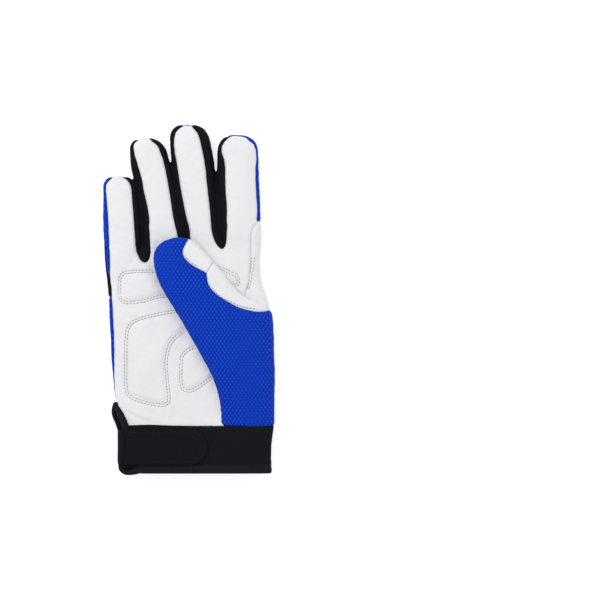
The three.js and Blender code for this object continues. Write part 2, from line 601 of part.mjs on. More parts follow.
// The closing strap: a flat band from the back of the cuff round its vent to a round end in front
function strapGeometry() {
  const lowZ = strapThickness / 2;
  const highZ = cuffTop + bindingProud + gap + strapThickness / 2;
  const bend = (highZ - lowZ) / 2;
  const bendX = strapFold + bend * 0.8 + strapThickness / 2;
  const path = [new THREE.Vector2(strapRoot, lowZ)];
  for (let step = 0; step <= 8; step += 1) {
    const angle = -Math.PI / 2 - Math.PI * step / 8;
    path.push(new THREE.Vector2(bendX + bend * 0.8 * Math.cos(angle), lowZ + bend + bend * Math.sin(angle)));
  }
  path.push(new THREE.Vector2(-20, highZ));
  path.push(new THREE.Vector2(strapEnd - 12, highZ));
  for (const share of [0.4, 0.7, 0.88, 0.97, 1]) {
    path.push(new THREE.Vector2(strapEnd - 12 + 12 * share, highZ));
  }
  const middleY = (strapLow + strapHigh) / 2;
  const halfWidth = (strapHigh - strapLow) / 2;
  const rings = path.map((point, i) => {
    const before = path[Math.max(0, i - 1)];
    const after = path[Math.min(path.length - 1, i + 1)];
    const along = after.clone().sub(before).normalize();
    const normal = new THREE.Vector2(-along.y, along.x).multiplyScalar(strapThickness / 2);
    const share = THREE.MathUtils.clamp((point.x - strapEnd + 12) / 12, 0, 1);
    const half = halfWidth * (i > 10 ? Math.max(0.3, Math.sqrt(1 - share ** 2.6)) : 1);
    return [[-half, 1], [half, 1], [half, -1], [-half, -1]].map(([y, side]) => new THREE.Vector3(
      point.x + normal.x * side, middleY + y, point.y + normal.y * side));
  });
  return loft(rings);
}

const glove = new THREE.Group();

function addPiece(name, geometry, color, roughness, metalness = 0) {
  geometry.computeVertexNormals();
  const piece = new THREE.Mesh(geometry, new THREE.MeshStandardMaterial({ color, roughness, metalness }));
  piece.name = name;
  glove.add(piece);
}

addPiece('palm_leather', largestBody(palmLeather), white, 0.62);
addPiece('index_patch', largestBody(indexPatch), white, 0.62);
addPiece('thumb_front_tip', largestBody(thumbFrontTip), white, 0.62);
addPiece('thumb_front_base', largestBody(thumbFrontBase), white, 0.62);
addPiece('thumb_back', largestBody(thumbBack), blue, 0.85);
addPiece('finger_backs', largestBody(fingerBacks), blue, 0.85);
addPiece('hand_back', largestBody(handBack), blue, 0.85);
addPiece('knuckle_band', largestBody(knuckle), black, 0.8);
addPiece('fourchette_little_ring', largestBody(fourchettes[0]), black, 0.85);
addPiece('fourchette_ring_middle', largestBody(fourchettes[1]), black, 0.85);
addPiece('fourchette_middle_index', largestBody(fourchettes[2]), black, 0.85);
addPiece('cuff_band', largestBody(cuffBand), black, 0.8);
addPiece('cuff_binding', largestBody(binding), black, 0.7);
addPiece('closure_strap', largestBody(solid(strapGeometry())), black, 0.75);

// The origin lies on the floor under the middle of the glove
const bounds = new THREE.Box3().setFromObject(glove);
const centre = bounds.getCenter(new THREE.Vector3());
glove.position.set(-centre.x, -centre.y, -bounds.min.z);
glove.updateMatrixWorld(true);

export default glove;
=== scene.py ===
"""Dresses a packed curling glove: sewn leather, dotted knit, stretch finger sides and a strapped cuff."""

import json
import math

import bpy
import numpy as np
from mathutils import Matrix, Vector
from mathutils.bvhtree import BVHTree
from mathutils.kdtree import KDTree

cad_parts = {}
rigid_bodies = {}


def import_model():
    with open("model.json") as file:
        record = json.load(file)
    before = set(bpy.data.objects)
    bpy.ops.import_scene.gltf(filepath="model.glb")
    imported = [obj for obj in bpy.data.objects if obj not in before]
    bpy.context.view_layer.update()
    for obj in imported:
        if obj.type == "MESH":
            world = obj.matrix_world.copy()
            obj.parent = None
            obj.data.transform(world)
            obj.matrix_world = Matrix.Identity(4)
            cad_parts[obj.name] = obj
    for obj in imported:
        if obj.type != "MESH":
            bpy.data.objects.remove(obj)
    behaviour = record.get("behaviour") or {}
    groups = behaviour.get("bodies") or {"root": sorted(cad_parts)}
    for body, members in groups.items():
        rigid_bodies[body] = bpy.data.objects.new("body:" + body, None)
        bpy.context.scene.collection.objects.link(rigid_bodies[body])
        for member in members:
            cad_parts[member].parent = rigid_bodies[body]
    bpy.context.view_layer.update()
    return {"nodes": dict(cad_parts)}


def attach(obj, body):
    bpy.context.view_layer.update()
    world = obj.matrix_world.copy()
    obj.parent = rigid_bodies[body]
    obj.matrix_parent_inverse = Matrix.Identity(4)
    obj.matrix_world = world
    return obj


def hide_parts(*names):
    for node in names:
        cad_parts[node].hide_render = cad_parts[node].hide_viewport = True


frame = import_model()

bl_info = {
    "name": "Curling glove",
    "version": (1, 0, 0),
    "blender": (4, 5, 0),
    "location": "View3D > Sidebar > Glove",
    "description": "Models a sewn curling glove round its packed solids",
    "category": "Object",
}

MM = 0.001

# The solids are drawn in millimetres from the hem, and the frame's origin is the middle of their box
DRAWN_SHIFT = (0.1, -122.5)

# The same rows as the solids: y, left edge, right edge of each finger, and its tip
FINGERS = (
    {
        "tip": (-50.4, 208.6),
        "rows": ((138.0, -58.4, -33.5), (148.4, -59.6, -33.6), (160.3, -60.5, -34.2),
                 (172.0, -60.8, -34.3), (185.5, -61.2, -35.2), (198.6, -61.1, -36.8)),
    },
    {
        "tip": (-31.5, 235.6),
        "rows": ((138.0, -32.8, 0.1), (148.4, -32.8, -0.4), (156.8, -32.9, -1.7), (170.1, -33.5, -3.9),
                 (185.5, -34.3, -7.1), (195.3, -35.8, -9.2), (203.0, -38.6, -10.7), (212.8, -41.0, -12.8),
                 (218.9, -41.8, -14.7), (225.0, -42.3, -16.4)),
    },
    {
        "tip": (-2.1, 245.0),
        "rows": ((138.0, 0.7, 22.0), (148.4, 0.3, 21.9), (158.9, -0.9, 21.6), (168.0, -2.8, 20.8),
                 (177.8, -5.2, 19.6), (185.5, -6.6, 18.8), (195.3, -8.7, 18.4), (205.8, -10.8, 17.2),
                 (219.0, -13.1, 16.4), (233.0, -14.1, 14.0)),
    },
    {
        "tip": (33.0, 237.7),
        "rows": ((138.0, 22.7, 49.2), (150.0, 22.6, 49.0), (158.9, 22.2, 49.4), (168.0, 21.4, 49.7),
                 (176.4, 20.5, 49.4), (185.5, 19.5, 49.1), (198.8, 19.3, 48.8), (211.4, 19.0, 48.1),
                 (226.0, 19.1, 47.3)),
    },
)

# Neighbouring fingers lie against each other up to these heights along the hand
PARTINGS = (199.4, 217.5, 216.5)
TOUCH = 0.6
PART_FADE = 8.0

# Palm and wrist: y at the left, y at the right, left edge, right edge, lowest and highest point
PALM_ROWS = (
    (31.0, 31.0, -50.4, 57.2, 3.2, 16.6),
    (33.0, 33.0, -50.8, 57.6, 2.8, 17.0),
    (43.4, 43.4, -52.4, 57.6, 1.2, 16.9),
    (54.0, 54.0, -53.1, 57.8, 0.0, 16.6),
    (66.0, 67.0, -54.0, 57.3, 0.0, 16.4),
    (79.0, 81.0, -54.9, 57.0, 0.0, 16.4),
    (92.0, 95.0, -55.7, 56.7, 0.0, 16.4),
    (105.0, 109.0, -56.4, 56.2, 0.0, 16.4),
    (117.0, 122.0, -57.0, 54.2, 0.0, 16.4),
    (128.0, 134.0, -57.6, 50.4, 0.0, 16.4),
    (138.0, 146.0, -58.4, 49.0, 0.0, 16.4),
)
PALM_END = (157.6, 168.0, -57.4, 47.2)

# Folded thumb: left x, left y, right x, right y, highest point, share across of the crease, low edge
THUMB_BED = 14.9
THUMB_ROWS = (
    (-5.6, 165.2, 3.8, 162.8, 25.0, 1.0, THUMB_BED),
    (-12.6, 164.9, 7.2, 160.0, 27.2, 1.0, THUMB_BED),
    (-19.4, 162.3, 10.9, 155.6, 28.4, 1.0, THUMB_BED),
    (-24.2, 157.2, 14.7, 150.8, 28.9, 1.0, THUMB_BED),
    (-25.3, 149.8, 18.0, 147.0, 29.2, 1.0, THUMB_BED),
    (-23.1, 138.6, 23.8, 140.3, 29.6, 1.0, THUMB_BED),
    (-18.9, 128.8, 30.1, 131.6, 29.8, 1.0, THUMB_BED),
    (-12.6, 118.3, 37.8, 124.6, 29.6, 0.98, THUMB_BED),
    (-5.6, 107.1, 48.4, 119.0, 29.0, 0.72, 9.0),
    (0.7, 95.9, 56.6, 113.4, 28.2, 0.56, 0.0),
    (7.0, 84.7, 58.2, 100.8, 27.2, 0.43, 0.0),
    (12.9, 73.5, 58.9, 85.4, 25.8, 0.33, 0.0),
    (17.5, 62.3, 59.2, 68.6, 23.8, 0.22, 0.0),
    (20.4, 51.8, 59.3, 53.2, 21.4, 0.14, 0.0),
    (21.3, 42.0, 58.9, 42.0, 19.0, 0.09, 1.2),
    (19.6, 33.0, 58.9, 33.0, 17.2, 0.05, 2.8),
    (19.2, 31.0, 58.7, 31.0, 16.9, 0.05, 3.2),
)
THUMB_TIP = (-1.2, 164.6, 21.0)

SIDE_HEIGHT = 7.0
FINGER_TOP = 15.0
CUFF_LINE = 33.0

# How square a tube is across its top and below its widest line, where 1 is round
FINGER_SQUARE, PALM_SQUARE = 0.8, 0.62
UNDER_SPREAD, UNDER_LIFT, UNDER_SWELL = 0.66, 0.62, 1.06

# The palm gives way under the thumb: where along the hand, how it fades at both ends and at the
# thumb's edge, and by what share of its height
PRESS_FROM, PRESS_TO = CUFF_LINE, 170.0
PRESS_FADE_IN, PRESS_FADE_OUT = 18.0, 14.0
PRESS_FADE = 13.0
PRESS_SHARE = 0.24

# Outer stitch rows of the foam pads under the palm leather, seen from above
PADS = (
    ((-50.2, 126.0), (-50.2, 135.0), (-48.2, 140.2), (-42.0, 142.4), (-20.0, 143.0), (17.0, 145.4),
     (28.7, 141.4), (33.6, 138.4), (34.6, 134.6), (30.8, 130.6), (7.0, 124.2), (-17.5, 123.8),
     (-33.0, 120.2), (-44.0, 119.2), (-48.8, 121.2)),
    ((4.0, 107.0), (-1.5, 112.4), (-8.0, 115.0), (-28.0, 111.4), (-38.6, 108.0), (-43.6, 103.6),
     (-45.6, 95.0), (-45.9, 79.0), (-45.8, 62.0), (-43.8, 54.8), (-36.0, 50.4), (-21.0, 47.3),
     (-15.6, 48.8), (-13.9, 54.0), (-15.8, 73.0), (-15.4, 83.0), (-12.2, 92.0), (-4.0, 99.2), (1.4, 101.5)),
    ((-6.9, 80.0), (-5.0, 84.8), (0.0, 88.6), (7.0, 90.4), (16.0, 86.0), (22.0, 78.0), (21.0, 71.6),
     (15.2, 66.6), (7.4, 60.9), (0.6, 57.4), (-4.6, 58.6), (-7.2, 64.4)),
)
ROW_APART = 1.7

# How far in from its rows a pad reaches its height, the depth and half width that a row pulls down, and
# the rise and half width of the welt between two rows
PAD_SHOULDER = 3.6
ROW_DEPTH, ROW_HALF = 0.42, 0.55
WELT_RISE, WELT_HALF = 0.25, 0.5

# Seen from above: stitch rows beside the index patch and along the thumb's leather
PATCH_ROWS = (
    ((42.9, 151.2), (42.6, 145.0), (41.7, 137.9), (39.9, 127.5)),
    ((44.9, 151.2), (44.4, 145.0), (43.4, 139.3), (42.0, 132.5), (40.9, 127.5)),
)
THUMB_ROWS_OF_STITCHES = (
    ((15.2, 131.2), (18.0, 127.4), (22.6, 123.6), (28.0, 120.9), (35.0, 117.8), (41.0, 116.3), (48.0, 115.6)),
    ((-3.0, 152.6), (-1.0, 149.8), (3.0, 146.9), (8.0, 144.6)),
)

# The wrist cuff: its left and right edges, and its heights at the middle, the top and the bottom
CUFF_LEFT = -51.2
CUFF_RIGHT = ((3.0, 57.0), (6.0, 56.9), (11.0, 56.4), (20.0, 56.6), (28.0, 57.6), (33.0, 58.6))
CUFF_MIDDLE, CUFF_TOP, CUFF_BOTTOM = 9.6, 17.6, 2.2
HEM_HEIGHT = 5.6
WRIST_MIDDLE = 3.5

# The cuff's top edge rises beside the vent: how much, where and how wide
TOP_RISE, TOP_RISE_AT, TOP_RISE_WIDTH = 0.8, -29.0, 16.0

# Along the hem: a groove in the cuff with its depth and half width, and the stitches on its binding with
# their left and right end
HEM_GROOVE, HEM_GROOVE_DEPTH, HEM_GROOVE_HALF = 7.4, 0.5, 0.55
HEM_STITCHES, HEM_STITCHES_LEFT, HEM_STITCHES_RIGHT = 5.1, -34.0, 54.0

# The vent's edge, as x and y of its two ends
VENT_TOP, VENT_BOTTOM = (-43.0, 33.0), (-47.5, -3.0)

# The vent's binding, as x, y, z, the way it faces in degrees round the wrist and its half width: from
# the hem up the back, over its apex, down the front and round the corner to the hem
VENT_BINDING = (
    (-38.0, 2.8, 2.9, -90, 2.7), (-43.0, 3.2, 3.0, -90, 2.5), (-46.2, 5.4, 3.3, -90, 2.4),
    (-46.6, 14.0, 3.4, -90, 2.4), (-46.8, 24.0, 3.4, -90, 2.4), (-48.6, 30.0, 3.6, -95, 2.4),
    (-50.4, 35.5, 4.0, -105, 2.4), (-52.7, 41.0, 4.8, -125, 2.3), (-53.4, 45.4, 6.4, -160, 2.0),
    (-52.4, 48.6, 8.6, -195, 1.7), (-50.6, 45.8, 11.0, -220, 2.0), (-48.6, 41.2, 13.9, -245, 2.4),
    (-46.3, 36.2, 15.4, -262, 2.4), (-44.7, 31.6, 15.3, -270, 2.4), (-44.6, 24.0, 14.6, -270, 2.4),
    (-45.2, 15.0, 14.2, -270, 2.4), (-46.6, 9.8, 13.4, -262, 2.1), (-48.3, 6.6, 12.2, -250, 1.9),
    (-47.9, 3.2, 12.2, -250, 1.8), (-45.2, 1.2, 13.4, -260, 1.8), (-41.6, 1.1, 14.8, -266, 1.9),
    (-38.0, 2.0, 15.7, -270, 2.3),
)

# The hem's binding: its half width, where its middle runs, how deep it sits in the cuff and where it ends
HEM_HALF_WIDTH = 3.35
HEM_MIDDLE, HEM_SUNK, HEM_SHORT_OF_VENT = 3.6, 0.85, 12.0

# The binding's section, and the groove where its folded edge lies: a share across, half width and depth
BINDING_HEIGHT = 3.2
BINDING_SQUARE = 0.6
FOLD_AT, FOLD_HALF, FOLD_DEPTH = -0.45, 0.16, 0.6

# The closing strap, folded from the back of the wrist round its side to a round end in front
STRAP_LOW, STRAP_HIGH = 6.9, 30.8
STRAP_ROOT, STRAP_BEND, STRAP_REACH, STRAP_END = -20.0, -42.0, 7.4, 11.9
STRAP_BACK, STRAP_FRONT = 0.85, 19.3
STRAP_ROUND = 12.0
STRAP_GAP = 1.9
STRAP_MARGINS = (1.7, 4.2)
EDGE_ROLL = 0.35

# Towards its round end the strap settles on the cuff: from where, over what length and how close
SETTLE_FROM, SETTLE_LENGTH, SETTLE_GAP = -16.0, 22.0, 0.35

# The ridge where the strap folds over to the front: its edge, width and height, how its edge bows along
# the hand, and the half width of the groove before it
RIDGE_EDGE, RIDGE_WIDTH, RIDGE_HEIGHT = -45.2, 5.6, 0.9
RIDGE_BOW, RIDGE_MIDDLE, RIDGE_SPAN = 1.1, 20.0, 11.0
RIDGE_GROOVE = 0.6

# Beside a seam the panel swells: where and how wide, as shares of the seam's width, how high, and how
# much and how often it puckers
SWELL_AT, SWELL_HALF = 1.05, 0.38
SWELL_RISE, PUCKER_RISE, PUCKER_PITCH = 0.12, 0.16, 5.2

# Where along its pitch a stitch dives in, lies on the cloth and dives in again
STITCH_SPOTS = np.array([0.12, 0.3, 0.7, 0.88])

# Slack folds, as two ends in plan, width and height
FOLDS = (
    ((-39.0, 42.6), (-26.0, 38.4), 1.7, 0.55), ((-46.5, 46.0), (-38.0, 39.4), 1.3, -0.35),
    ((-20.0, 37.0), (2.0, 35.4), 2.2, 0.3), ((-57.0, 171.0), (-39.0, 170.0), 2.6, -0.22),
    ((-31.0, 186.0), (-12.0, 184.5), 2.8, -0.25), ((-6.0, 192.0), (14.0, 191.0), 2.8, -0.25),
    ((23.0, 187.0), (47.0, 187.5), 3.0, -0.25), ((38.5, 136.0), (50.0, 121.5), 2.2, 0.5),
    ((44.0, 140.0), (52.0, 126.0), 1.8, -0.3), ((-54.0, 116.8), (-30.0, 117.2), 2.2, -0.3),
)

HAND_NODES = {
    "palm_leather": ("sewn_palm", "white_leather"),
    "index_patch": ("sewn_index_patch", "white_leather"),
    "finger_backs": ("knit_finger_backs", "blue_knit"),
    "hand_back": ("knit_hand_back", "blue_knit"),
    "knuckle_band": ("stretch_knuckle_band", "black_neoprene"),
    "fourchette_little_ring": ("stretch_side_little_ring", "black_stretch"),
    "fourchette_ring_middle": ("stretch_side_ring_middle", "black_stretch"),
    "fourchette_middle_index": ("stretch_side_middle_index", "black_stretch"),
}
THUMB_NODES = {
    "thumb_back": ("knit_thumb_back", "blue_knit"),
    "thumb_front_tip": ("sewn_thumb_tip", "white_leather"),
    "thumb_front_base": ("sewn_thumb_base", "white_leather"),
}

SIDES = ("fourchette_little_ring", "fourchette_ring_middle", "fourchette_middle_index")

# Seen from above, the panels that edge each fingertip from left to right, and where each one ends
TIP_EDGES = (
    (("finger_backs", -54.6), ("palm_leather", -44.8), ("fourchette_little_ring", 99)),
    (("fourchette_little_ring", -37.6), ("palm_leather", -29.1), ("fourchette_ring_middle", 99)),
    (("fourchette_ring_middle", -4.6), ("finger_backs", 0.7), ("fourchette_middle_index", 99)),
    (("fourchette_middle_index", 25.7), ("finger_backs", 99)),
)

# Faces above the first height show from above, and those below the second lie on the glove's back
SEEN_HEIGHT, BACK_HEIGHT = 8.6, 3.2

# The black side strips: how high they reach, where they start and how much of a tip they run round
STRIP_HEIGHT, STRIP_START, STRIP_SHARE = 13.0, 160.0, 0.6
STRIP_SHORT_OF_PARTING = 4.0

# The fingertips' panels: from what share of the tip, how far to its sides and above what height
TIP_SHARE, TIP_REACH, TIP_HEIGHT = 0.55, 14.0, 3.0

# The knuckle band's end at the little finger's edge: its reach to the right, its lower side, and rows of
# y and its upper side
BAND_RIGHT, BAND_LOW = -50.0, 2.0
BAND_HIGH = ((124.1, 14.0), (135.8, 14.0), (142.0, 8.6), (160.0, 8.2), (167.3, 6.6))

# The index patch: where it starts to the right, rows of y and its left edge, and where it meets the thumb
PATCH_LEFT = 40.0
PATCH_EDGE = ((151.0, 42.9), (159.0, 42.6), (165.0, 42.7), (169.0, 43.1), (173.0, 45.1), (177.5, 48.6))
PATCH_AT_THUMB = (35.0, 106.0, 132.0)

# A face of the hand is cut away this far from every solid, if it is below this place along the hand. One
# of the thumb is cut away this far from every solid, or up to this little past the cuff's edge
HAND_OPEN, HAND_OPEN_BELOW = 2.2, 150.0
THUMB_OPEN, THUMB_PAST_CUFF = 1.2, 0.4

# The leather beside the vent's front leg: how far right it reaches, and which of the binding's points
# that leg has, by the way they face and their place along the hand
VENT_RIGHT, VENT_FRONT_LEAN, VENT_LEG_START = -36.0, -190.0, 31.0

# A face counts as not facing down when its normal's height is above this
NOT_DOWN = -0.2

# The thumb: no leather below this place, and its leather's lower corner beside the index finger
THUMB_LEATHER_FROM = 66.0
THUMB_CORNER_X, THUMB_CORNER_Y, THUMB_CORNER_BEND, THUMB_CORNER_FROM = 51.0, 113.6, 0.08, 44.0

# The same panels as they show from above: the one to the left, the one between, the one to the right,
# and rows of y with the left and right edge of the one between
SEEN_REACH = 3.5
SEEN_FROM_ABOVE = (
    ("finger_backs", "palm_leather", "fourchette_little_ring", (
        (207.1, -55.0, -44.5), (205.4, -57.8, -42.8), (203.7, -59.1, -41.6), (200.3, -60.0, -40.8),
        (196.9, -59.5, -40.5), (188.4, -58.6, -39.9), (179.9, -57.8, -39.3), (171.4, -57.2, -38.6))),
    ("fourchette_little_ring", "palm_leather", "fourchette_ring_middle", (
        (233.8, -37.6, -28.7), (232.5, -39.7, -24.8), (230.8, -40.8, -22.5), (226.6, -40.1, -20.9),
        (222.3, -38.8, -19.3), (218.1, -37.6, -18.1), (213.9, -36.3, -17.0), (209.6, -35.0, -16.2),
        (205.4, -33.9, -15.5), (196.9, -32.7, -14.0), (188.4, -30.4, -12.8), (179.9, -28.9, -11.7),
        (175.7, -28.8, -10.6))),
    ("fourchette_ring_middle", "palm_leather", "fourchette_middle_index", (
        (243.6, -5.3, 1.0), (242.7, -7.9, 2.3), (241.0, -9.6, 4.0), (239.3, -10.6, 5.3),
        (235.1, -11.7, 6.8), (230.8, -11.7, 7.9), (226.6, -11.3, 8.8), (222.3, -10.6, 9.7),
        (213.9, -9.2, 11.0), (205.4, -8.0, 11.9), (196.9, -6.6, 12.7), (188.4, -4.9, 13.8),
        (179.9, -3.2, 14.4), (175.7, -1.8, 14.8))),
    ("fourchette_middle_index", "palm_leather", "finger_backs", (
        (235.1, 25.6, 39.6), (233.4, 24.1, 42.6), (231.7, 22.7, 44.4), (230.0, 21.8, 45.5),
        (227.4, 21.1, 46.2), (224.9, 21.6, 46.6), (222.3, 22.8, 46.7), (219.8, 23.7, 46.7),
        (213.9, 24.4, 46.4), (205.4, 24.4, 46.4), (196.9, 24.6, 46.8), (188.4, 25.6, 47.4),
        (179.9, 25.6, 47.9))),
    ("palm_leather", "fourchette_little_ring", "palm_leather", (
        (171.4, -38.6, -28.7), (163.0, -38.3, -28.4), (157.9, -37.8, -28.0), (154.5, -37.1, -27.6),
        (151.1, -35.7, -28.0), (149.0, -34.0, -29.0), (147.5, -32.0, -31.3))),
    ("palm_leather", "fourchette_ring_middle", "palm_leather", (
        (175.7, -10.6, -1.8), (171.4, -9.7, -0.4), (167.2, -8.6, -0.4), (165.1, -8.0, -0.4),
        (158.7, -7.0, -0.7), (152.8, -5.3, -1.5), (149.4, -3.6, -3.1))),
    ("palm_leather", "fourchette_middle_index", "palm_leather", (
        (175.7, 14.8, 25.7), (171.4, 15.2, 25.7), (167.2, 16.0, 25.6), (163.0, 17.4, 25.4),
        (160.0, 18.9, 25.0), (157.9, 21.0, 24.1), (156.8, 22.5, 22.8))),
)


class GloveSizes(bpy.types.PropertyGroup):
    """Sizes of the sewn detail, in metres"""

    mesh_step: bpy.props.FloatProperty(
        name="Mesh step", description="Size of the faces of the soft panels", default=0.7 * MM, unit="LENGTH")
    leather: bpy.props.FloatProperty(
        name="Leather", description="Thickness of the leather and knit walls", default=1.0 * MM,
        unit="LENGTH")
    seam_depth: bpy.props.FloatProperty(
        name="Seam depth", description="How deep the turned seams sink", default=0.9 * MM, unit="LENGTH")
    seam_width: bpy.props.FloatProperty(
        name="Seam width", description="How far from a seam the panels roll in", default=2.2 * MM,
        unit="LENGTH")
    pad_rise: bpy.props.FloatProperty(
        name="Pad rise", description="How high the pads stand", default=1.0 * MM, unit="LENGTH")
    stitch_pitch: bpy.props.FloatProperty(
        name="Stitch pitch", description="Length of one stitch with its gap", default=2.4 * MM,
        unit="LENGTH")
    thread: bpy.props.FloatProperty(
        name="Thread", description="Thickness of the sewing thread", default=0.42 * MM, unit="LENGTH")
    neoprene: bpy.props.FloatProperty(
        name="Neoprene", description="Thickness of the cuff", default=2.1 * MM, unit="LENGTH")
    strap: bpy.props.FloatProperty(
        name="Strap", description="Thickness of the closing strap", default=1.6 * MM, unit="LENGTH")


class GloveColours(bpy.types.PropertyGroup):
    """Colours of the cloth, leather and thread"""

    leather: bpy.props.FloatVectorProperty(
        name="Leather", description="White goatskin", subtype="COLOR", default=(0.80, 0.79, 0.81))
    knit: bpy.props.FloatVectorProperty(
        name="Knit", description="Royal blue knit", subtype="COLOR", default=(0.003, 0.038, 0.45))
    knit_dot: bpy.props.FloatVectorProperty(
        name="Knit dots", description="Raised dots of the knit", subtype="COLOR",
        default=(0.016, 0.092, 0.64))
    stretch: bpy.props.FloatVectorProperty(
        name="Stretch", description="Black stretch cloth", subtype="COLOR", default=(0.0055, 0.0055, 0.0085))
    neoprene: bpy.props.FloatVectorProperty(
        name="Neoprene", description="Black cuff", subtype="COLOR", default=(0.0062, 0.0065, 0.0092))
    tape: bpy.props.FloatVectorProperty(
        name="Tape", description="Black binding tape", subtype="COLOR", default=(0.0088, 0.0088, 0.012))
    thread: bpy.props.FloatVectorProperty(
        name="Thread", description="White sewing thread", subtype="COLOR", default=(0.66, 0.65, 0.67))


def sizes():
    return bpy.context.scene.glove_sizes


def colours():
    return bpy.context.scene.glove_colours


# Curves and rings in millimetres, as the solids are drawn


def through(rows, steps):
    """A smooth curve through rows of numbers, with steps points between each pair."""
    rows = np.asarray(rows, float)
    before = np.concatenate([rows[:1], rows[:-1]])
    after = np.concatenate([rows[1:], rows[-1:]])
    slopes = (after - before) / 2
    slopes[0] = rows[1] - rows[0]
    slopes[-1] = rows[-1] - rows[-2]
    out = []
    for i in range(len(rows) - 1):
        for t in np.arange(steps) / steps:
            out.append(
                (2 * t**3 - 3 * t**2 + 1) * rows[i] + (t**3 - 2 * t**2 + t) * slopes[i]
                + (3 * t**2 - 2 * t**3) * rows[i + 1] + (t**3 - t**2) * slopes[i + 1])
    out.append(rows[-1])
    return np.array(out)


def closed_through(points, steps):
    """A smooth closed curve through points."""
    points = np.asarray(points, float)
    wrapped = np.concatenate([points[-2:], points, points[:3]])
    return through(wrapped, steps)[2 * steps:(len(points) + 2) * steps]


def signed_power(value, exponent):
    return np.sign(value) * np.abs(value) ** exponent


def tube_ring(left, right, middle, top, bottom, sharpness, count):
    """One ring of a soft tube: rounder above its widest line, flatter below it."""
    left, right = np.asarray(left, float), np.asarray(right, float)
    angle = 2 * math.pi * np.arange(count) / count
    upper = np.sin(angle) >= 0
    spread = signed_power(np.cos(angle), np.where(upper, sharpness, UNDER_SPREAD))
    height = np.abs(np.sin(angle))
    lift = np.where(upper, height**sharpness, np.minimum(1, UNDER_SWELL * height**UNDER_LIFT))
    z = np.where(upper, middle + (top - middle) * lift, middle + (bottom - middle) * lift)
    plan = (left + right) / 2 + np.outer(spread, (right - left) / 2)
    return np.column_stack([plan, z])


def smooth_step(value):
    t = np.clip(value, 0, 1)
    return t * t * (3 - 2 * t)


def press(points):
    """The palm gives way under the folded thumb."""
    edge = sorted((row[1], row[0]) for row in THUMB_ROWS)
    edge_x = np.interp(points[..., 1], [y for y, _ in edge], [x for _, x in edge])
    across = smooth_step((points[..., 0] - edge_x + PRESS_FADE * 0.6) / PRESS_FADE)
    along = smooth_step((points[..., 1] - PRESS_FROM) / PRESS_FADE_IN)
    along = along * smooth_step((PRESS_TO - points[..., 1]) / PRESS_FADE_OUT)
    above = points[..., 2] > SIDE_HEIGHT
    share = np.where(above, 1 - PRESS_SHARE * across * along, 1)
    pressed = points.copy()
    pressed[..., 2] = SIDE_HEIGHT + (points[..., 2] - SIDE_HEIGHT) * share
    return pressed


def finger_rings(index, count=56):
    """A finger from its root to its round tip, wide enough to touch its neighbours up to the partings."""
    finger = FINGERS[index]
    rows = through([(y, left, right) for y, left, right in finger["rows"]], 7)
    y = rows[:, 0]
    if index > 0:
        rows[:, 1] -= TOUCH * smooth_step((PARTINGS[index - 1] - y) / PART_FADE)
    if index < len(PARTINGS):
        rows[:, 2] += TOUCH * smooth_step((PARTINGS[index] - y) / PART_FADE)
    rings = [tube_ring((left, y), (right, y), SIDE_HEIGHT, FINGER_TOP, 0, FINGER_SQUARE, count)
             for y, left, right in rows]
    y, left, right = rows[-1]
    tip_x, tip_y = finger["tip"]
    for angle in np.linspace(0, math.pi / 2, 15)[1:]:
        along, shrink = math.sin(angle), max(math.cos(angle), 1e-3)
        centre = (left + right) / 2 * (1 - along) + tip_x * along
        half = (right - left) / 2 * shrink**0.7
        ring_y = y + (tip_y - y) * along
        middle = SIDE_HEIGHT - 0.5 * along
        rings.append(tube_ring(
            (centre - half, ring_y), (centre + half, ring_y), middle,
            SIDE_HEIGHT + (FINGER_TOP - SIDE_HEIGHT) * shrink**0.8,
            SIDE_HEIGHT - SIDE_HEIGHT * shrink**0.4, FINGER_SQUARE, count))
    return press(np.array(rings))


def palm_rings(count=140):
    """The palm from the wrist to its round end under the fingers."""
    rows = through(PALM_ROWS, 9)
    rings = [tube_ring((left, ly), (right, ry), SIDE_HEIGHT + low * 0.8, top, low, PALM_SQUARE, count)
             for ly, ry, left, right, low, top in rows]
    ly, ry, left, right, _, top = rows[-1]
    end_ly, end_ry, end_left, end_right = PALM_END
    for angle in np.linspace(0, math.pi / 2, 14)[1:]:
        along, shrink = math.sin(angle), max(0.04, math.cos(angle) ** 0.9)
        rings.append(tube_ring(
            (left + (end_left - left) * along, ly + (end_ly - ly) * along),
            (right + (end_right - right) * along, ry + (end_ry - ry) * along),
            SIDE_HEIGHT, SIDE_HEIGHT + (top - SIDE_HEIGHT) * shrink,
            SIDE_HEIGHT - SIDE_HEIGHT * math.sqrt(shrink), PALM_SQUARE, count))
    return press(np.array(rings))


